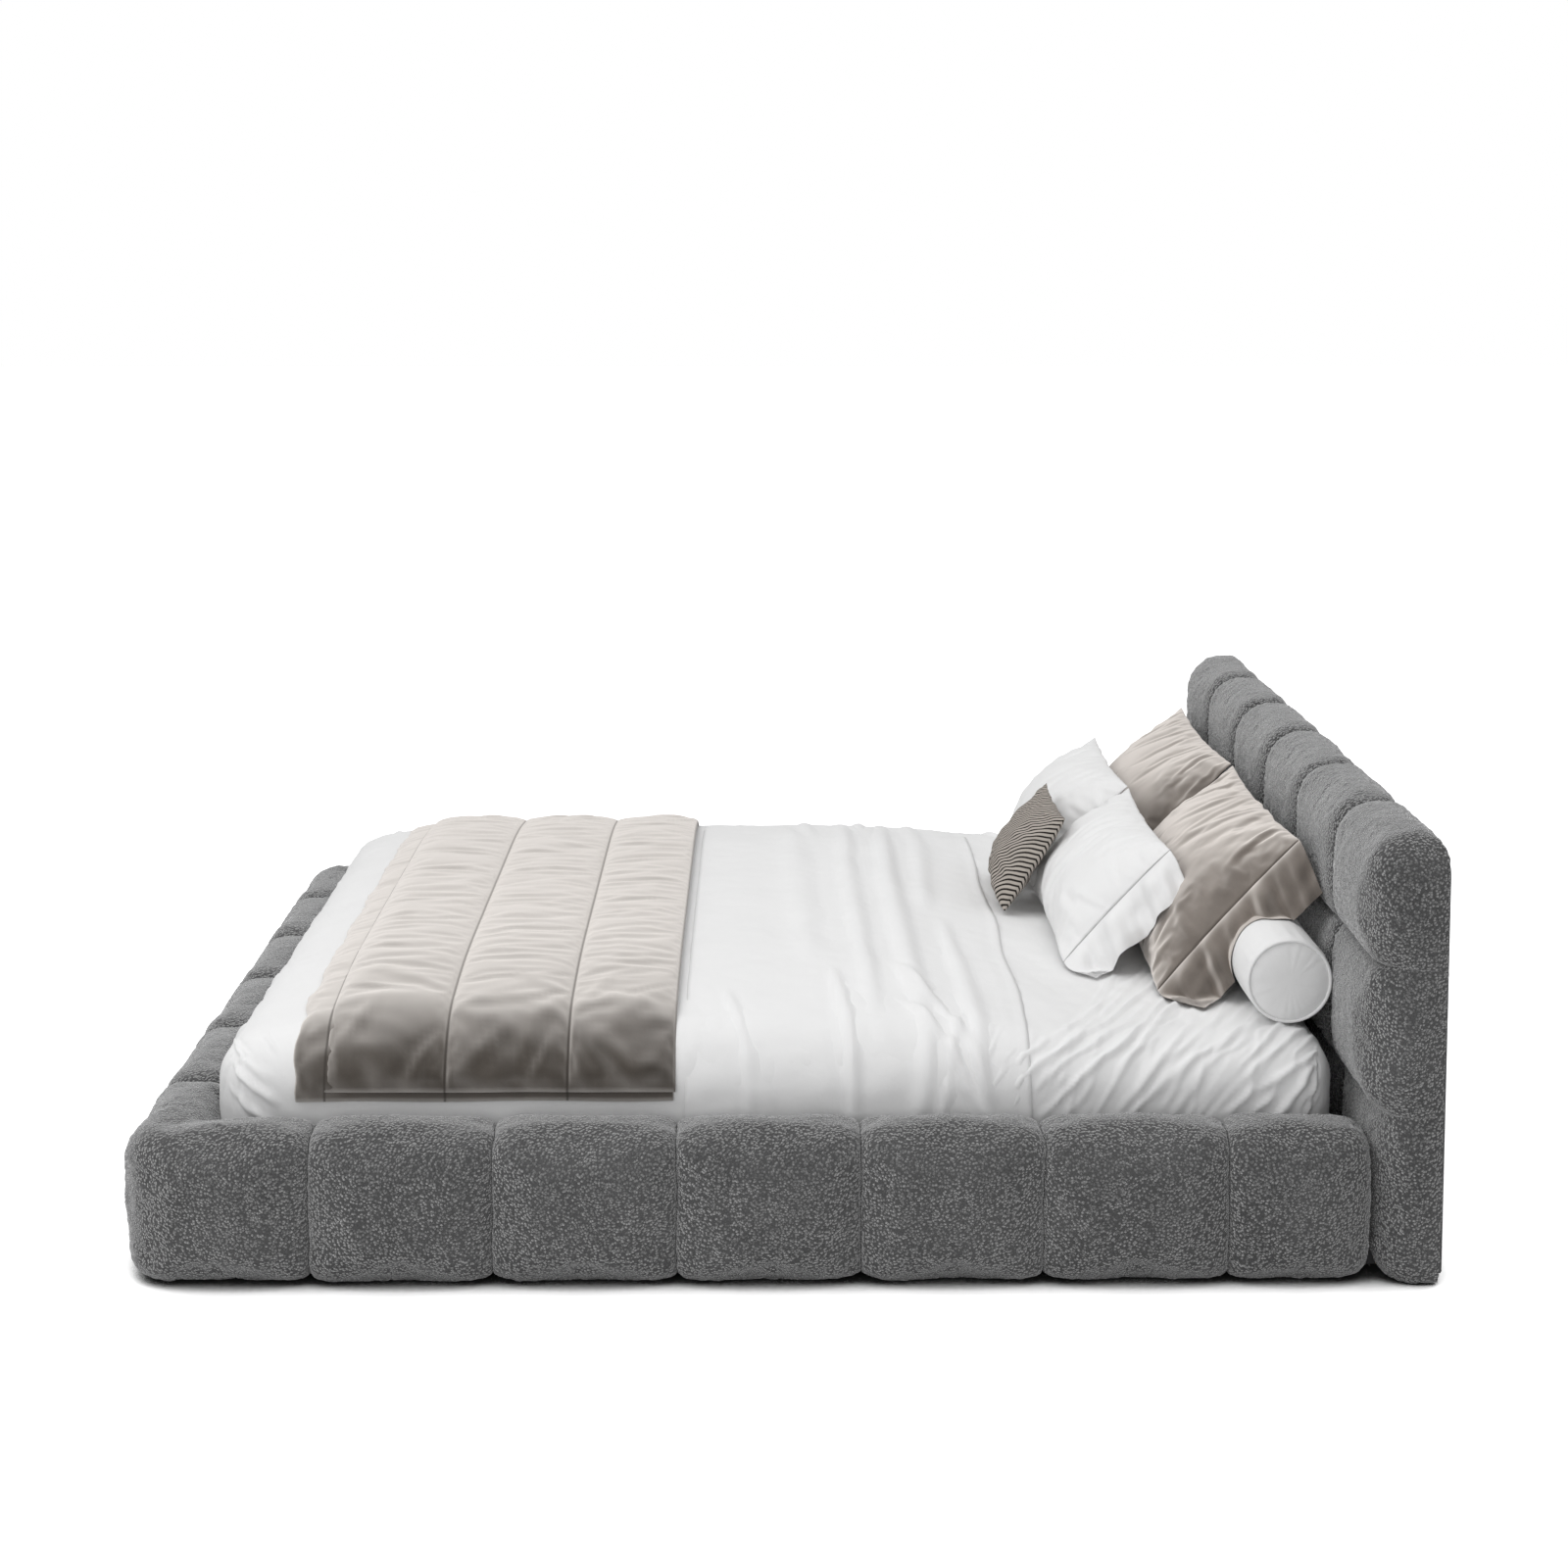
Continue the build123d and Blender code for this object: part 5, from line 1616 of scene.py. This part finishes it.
@made_once("narrow_stripe")
def striped_cloth(tree, shader):
    """Cream cloth with narrow dark lines on the bias, drawn on the cushion's flat cut."""
    flat = add_node(tree, "ShaderNodeAttribute", attribute_name="flat_cloth").outputs["Vector"]
    split = add_node(tree, "ShaderNodeSeparateXYZ", {0: flat})
    bias = maths(tree, "SUBTRACT", split.outputs["Y"], split.outputs["X"])
    wobble = maths(tree, "SUBTRACT", noise(tree, flat, 40.0, 1.0), 0.5)
    at = maths(tree, "ADD", bias, maths(tree, "MULTIPLY", wobble, 0.0012))
    phase = maths(tree, "FRACT", maths(tree, "DIVIDE", at, STRIPE_PITCH))
    line = maths(tree, "ABSOLUTE", maths(tree, "SUBTRACT", phase, 0.5))
    mask = stretch_range(tree, line, 0.16, 0.24, 1.0, 0.0)
    light = colours().stripe_light
    ground = blend_colour(tree, patchy(tree, flat, 20.0, 600.0)["Specks"], times(light, 0.85), light)
    colour = blend_colour(tree, mask, ground, colours().stripe_dark)
    plug_all(tree, shader, {"Base Color": colour, "Roughness": 0.9, "Specular IOR Level": 0.2})
    height = weighted(tree, (mask, 0.8), (weave(tree, flat, 300.0)["Height"], 0.3))
    bump(tree, shader, height, 0.5, 0.0012)


@made_once("mattress_ticking")
def ticking_cloth(tree, shader):
    """Off-white mattress ticking with a fine knitted rib."""
    place = object_place(tree)
    threads = weave(tree, place, 260.0)["Height"]
    tone = maths(tree, "MULTIPLY", patchy(tree, place, 8.0, 200.0)["Patches"], threads)
    colour = blend_colour(tree, tone, (0.62, 0.61, 0.58), (0.78, 0.77, 0.74))
    plug_all(tree, shader, {"Base Color": colour, "Roughness": 0.9})
    bump(tree, shader, threads, 0.4, 0.001)


@made_once("timber")
def grain_material(tree, shader, light, dark, along):
    """Timber: grain drawn out along one axis, with pores and slow changes of tone."""
    scale = [0.06 if axis == along else 1.0 for axis in "XYZ"]
    drawn = add_node(tree, "ShaderNodeMapping", {"Vector": object_place(tree), "Scale": scale}).outputs[0]
    grain = noise(tree, drawn, 56.0, 5.0, Roughness=0.65, Distortion=0.6)
    tone = weighted(tree, (grain, 0.8), (patchy(tree, drawn, 9.0, 700.0)["Specks"], 0.25))
    plug_all(tree, shader, {
        "Base Color": blend_colour(tree, stretch_range(tree, tone, 0.3, 0.75), dark, light),
        "Roughness": stretch_range(tree, grain, 0.2, 0.8, 0.7, 0.5),
    })
    bump(tree, shader, tone, 0.3, 0.0006)


PLY = 0.0024


@made_once("birch_plywood")
def plywood_material(tree, shader):
    """Birch plywood: pale face veneer and thin dark glue lines on its edges."""
    place = object_place(tree)
    y = add_node(tree, "ShaderNodeSeparateXYZ", {0: place}).outputs["Y"]
    plies = maths(tree, "FRACT", maths(tree, "DIVIDE", y, PLY))
    glue = stretch_range(tree, maths(tree, "ABSOLUTE", maths(tree, "SUBTRACT", plies, 0.5)), 0.38, 0.46)
    drawn = add_node(tree, "ShaderNodeMapping", {"Vector": place, "Scale": (1.0, 1.0, 0.08)}).outputs[0]
    uneven = patchy(tree, drawn, 30.0, 400.0)
    face = blend_colour(tree, uneven["Patches"], (0.50, 0.36, 0.22), (0.66, 0.52, 0.36))
    colour = blend_colour(tree, maths(tree, "MULTIPLY", glue, 0.35), face, (0.22, 0.13, 0.07))
    plug_all(tree, shader, {"Base Color": colour, "Roughness": 0.6})
    bump(tree, shader, uneven["Specks"], 0.2, 0.0005)


@made_once("zinc_steel")
def steel_material(tree, shader):
    """Zinc-plated steel with faint spangle and scuffs."""
    uneven = patchy(tree, object_place(tree), 60.0, 900.0)
    plug_all(tree, shader, {
        "Base Color": blend_colour(tree, uneven["Patches"], (0.42, 0.43, 0.45), (0.62, 0.63, 0.64)),
        "Metallic": 1.0,
        "Roughness": stretch_range(tree, uneven["Specks"], 0.3, 0.7, 0.28, 0.5),
    })
    bump(tree, shader, uneven["Specks"], 0.1, 0.0004)


@made_once("moulded")
def moulded_material(tree, shader, light, dark, roughness):
    """Moulded nylon or rubber with a fine spark-eroded grain."""
    uneven = patchy(tree, object_place(tree), 40.0, 1100.0)
    plug_all(tree, shader, {
        "Base Color": blend_colour(tree, uneven["Patches"], dark, light),
        "Roughness": stretch_range(tree, uneven["Specks"], 0.3, 0.7, roughness - 0.1, roughness + 0.1),
    })
    bump(tree, shader, uneven["Specks"], 0.25, 0.0004)


@made_once("back_lining")
def backing_material(tree, shader):
    """Dark lining cloth of the headboard's back: a close felted weave."""
    place = object_place(tree)
    uneven, threads = patchy(tree, place, 12.0, 500.0), weave(tree, place, 320.0)["Height"]
    tone = weighted(tree, (threads, 0.6), (uneven["Patches"], 0.4))
    colour = blend_colour(tree, tone, (0.05, 0.05, 0.052), (0.11, 0.11, 0.112))
    plug_all(tree, shader, {"Base Color": colour, "Roughness": 0.95})
    bump(tree, shader, maths(tree, "ADD", threads, uneven["Specks"]), 0.5, 0.001)


@made_once("strap_webbing")
def webbing_material(tree, shader):
    """Grey strap webbing with a ribbed weave."""
    threads = weave(tree, object_place(tree), 380.0)["Height"]
    colour = blend_colour(tree, threads, (0.18, 0.18, 0.19), (0.4, 0.4, 0.41))
    plug_all(tree, shader, {"Base Color": colour, "Roughness": 0.85})
    bump(tree, shader, threads, 0.6, 0.0008)


class BED_OT_structure(bpy.types.Operator):
    """Finish the timbers, slats, steel fittings, straps and glides"""
    bl_idname = "bed.structure"
    bl_label = "Frame Finishes"

    def execute(self, context):
        wood = tuple(colours().timber)
        dark = times(wood, 0.62)
        nylon = moulded_material((0.05, 0.05, 0.052), (0.03, 0.03, 0.03), 0.5, name="black_nylon")
        rubber = moulded_material((0.10, 0.10, 0.10), (0.06, 0.06, 0.06), 0.75, name="grey_rubber")
        slats = grain_material((0.66, 0.47, 0.27), (0.47, 0.30, 0.15), "X", name="pine_slats")
        finishes = (
            (grain_material(wood, dark, "X", name="timber_upright"), "headboard_timbers foot_board"),
            (grain_material(wood, dark, "Y", name="timber_long"),
             "right_rail_board left_rail_board foot_returns right_ledger left_ledger centre_beam"),
            (grain_material(wood, dark, "Z", name="timber_legs"), "centre_legs"),
            (plywood_material(), "headboard_plywood"),
            (slats, "slats"),
            (webbing_material(), "slat_straps"),
            (nylon, "headboard_glides rail_glides"),
            (rubber, "centre_leg_pads"),
            (steel_material(),
             "foot_joint_plates foot_joint_bolts head_angles head_angle_bolts beam_hangers"),
        )
        for material, nodes in finishes:
            for name in nodes.split():
                mesh = bpy.data.objects[name].data
                if not mesh.materials:
                    mesh.materials.append(material)
                for index in range(len(mesh.materials)):
                    mesh.materials[index] = material
        return {"FINISHED"}


# Camera, in degrees and metres, as the photograph's vanishing point gives it
CAMERA_PITCH, CAMERA_YAW = 5.313, 0.438
CAMERA_PLACE = (5.0209, -0.0254, 1.7838)
CAMERA_LENS, CAMERA_SHIFT = 56.84, -0.2
# Soft lamps: name, place, aim, size and power
LAMPS = (
    ("key", (1.2, -2.6, 4.0), (0.0, 0.0, 0.2), 3.6, 80.0),
    ("top", (0.0, 0.6, 4.6), (0.0, 0.2, 0.2), 4.5, 69.0),
    ("fill", (5.6, -0.9, 2.0), (0.5, 0.0, 0.3), 3.6, 52.0),
)
SKY_LIGHT = 0.42


class BED_OT_stage(bpy.types.Operator):
    """Set the camera, the pale floor and the soft studio light"""
    bl_idname = "bed.stage"
    bl_label = "Stage"

    def execute(self, context):
        scene = context.scene
        scene.view_settings.view_transform = "Standard"
        pitch, yaw = math.radians(CAMERA_PITCH), math.radians(CAMERA_YAW)
        level = math.cos(pitch)
        forward = Vector((-math.cos(yaw) * level, math.sin(yaw) * level, -math.sin(pitch)))
        right = Vector((math.sin(yaw), math.cos(yaw), 0))
        axes = Matrix((right, right.cross(forward), -forward)).transposed()
        lens = bpy.data.cameras.new("camera")
        lens.lens, lens.sensor_width, lens.shift_y = CAMERA_LENS, 36.0, CAMERA_SHIFT
        camera = bpy.data.objects.new("camera", lens)
        camera.matrix_world = Matrix.Translation(CAMERA_PLACE) @ axes.to_4x4()
        scene.collection.objects.link(camera)
        scene.camera = camera

        bm = bmesh.new()
        bmesh.ops.create_grid(bm, x_segments=1, y_segments=1, size=30)
        floor = scratch("floor", bm)
        floor.data.materials.append(floor_material())

        for name, place, aim, size, power in LAMPS:
            light = bpy.data.lights.new(name, "AREA")
            light.shape, light.size, light.energy = "SQUARE", size, power
            lamp = bpy.data.objects.new(name, light)
            turn = (Vector(aim) - Vector(place)).to_track_quat("-Z", "Y").to_matrix().to_4x4()
            lamp.matrix_world = Matrix.Translation(place) @ turn
            scene.collection.objects.link(lamp)

        world = bpy.data.worlds.new("studio")
        world.use_nodes = True
        scene.world = world
        tree = world.node_tree
        strength = stretch_range(tree, seen_by_camera(tree), 0.0, 1.0, SKY_LIGHT, 1.0)
        plug_all(tree, tree.nodes["Background"], {"Strength": strength, "Color": (1, 1, 1, 1)})
        return {"FINISHED"}


def seen_by_camera(tree):
    """1 for rays that end in the picture directly, in a reflection or through glass."""
    path = add_node(tree, "ShaderNodeLightPath")
    seen = maths(tree, "MAXIMUM", path.outputs["Is Camera Ray"], path.outputs["Is Glossy Ray"])
    return maths(tree, "MAXIMUM", seen, path.outputs["Is Transmission Ray"])


@made_once("pale_floor")
def floor_material(tree, shader):
    """Pale matt floor that shows white to the camera, keeps the bed's shadow and has a painted shadow close
    to the bed and under it.
    """
    patches = patchy(tree, object_place(tree), 1.5, 60.0)["Patches"]
    pale = blend_colour(tree, patches, (0.78, 0.78, 0.78), (0.81, 0.81, 0.81))
    # painted shadow: dark close to the bed's lower edge, and where the bed roofs the floor over, in both
    # its colour and its glow
    close, roofed = (
        stretch_range(tree, add_node(tree, "ShaderNodeAmbientOcclusion", {"Distance": far},
                                     samples=6).outputs["AO"], low, high)
        for far, low, high in ((0.11, 0.44, 0.56), (0.6, 0.30, 0.45))
    )
    open_sky = maths(tree, "MULTIPLY", close, roofed)
    glow = maths(tree, "MULTIPLY", seen_by_camera(tree), maths(tree, "MULTIPLY", open_sky, 0.9))
    # painted shadow: the floor's colour runs to near black where ambient occlusion is strong
    plug_all(tree, shader, {
        "Base Color": blend_colour(tree, open_sky, (0.03, 0.03, 0.03), pale), "Roughness": 0.9,
        "Specular IOR Level": 0.1, "Emission Color": (1, 1, 1, 1), "Emission Strength": glow,
    })


OPERATORS = (
    BED_OT_stage, BED_OT_structure, BED_OT_rails, BED_OT_foot, BED_OT_headboard, BED_OT_mattress,
    BED_OT_top_sheet, BED_OT_throw, BED_OT_pillows, BED_OT_bolster, BED_OT_cushion,
)


class BED_PT_sidebar(bpy.types.Panel):
    """Lists the bed's sizes, colours and pieces"""
    bl_idname = "BED_PT_sidebar"
    bl_label = "Upholstered Bed"
    bl_space_type = "VIEW_3D"
    bl_region_type = "UI"
    bl_category = "Bed"

    def draw(self, context):
        for group in (context.scene.bed_sizes, context.scene.bed_colours):
            box = self.layout.box()
            for name in group.__annotations__:
                box.prop(group, name)
        for operator in OPERATORS:
            self.layout.operator(operator.bl_idname)


CLASSES = (BedSizes, BedColours, *OPERATORS, BED_PT_sidebar)


def register():
    for cls in CLASSES:
        bpy.utils.register_class(cls)
    bpy.types.Scene.bed_sizes = bpy.props.PointerProperty(type=BedSizes)
    bpy.types.Scene.bed_colours = bpy.props.PointerProperty(type=BedColours)


def unregister():
    del bpy.types.Scene.bed_colours
    del bpy.types.Scene.bed_sizes
    for cls in reversed(CLASSES):
        bpy.utils.unregister_class(cls)


def main():
    register()
    for operator in OPERATORS:
        group, name = operator.bl_idname.split(".")
        getattr(getattr(bpy.ops, group), name)()


if __name__ == "__main__":
    main()
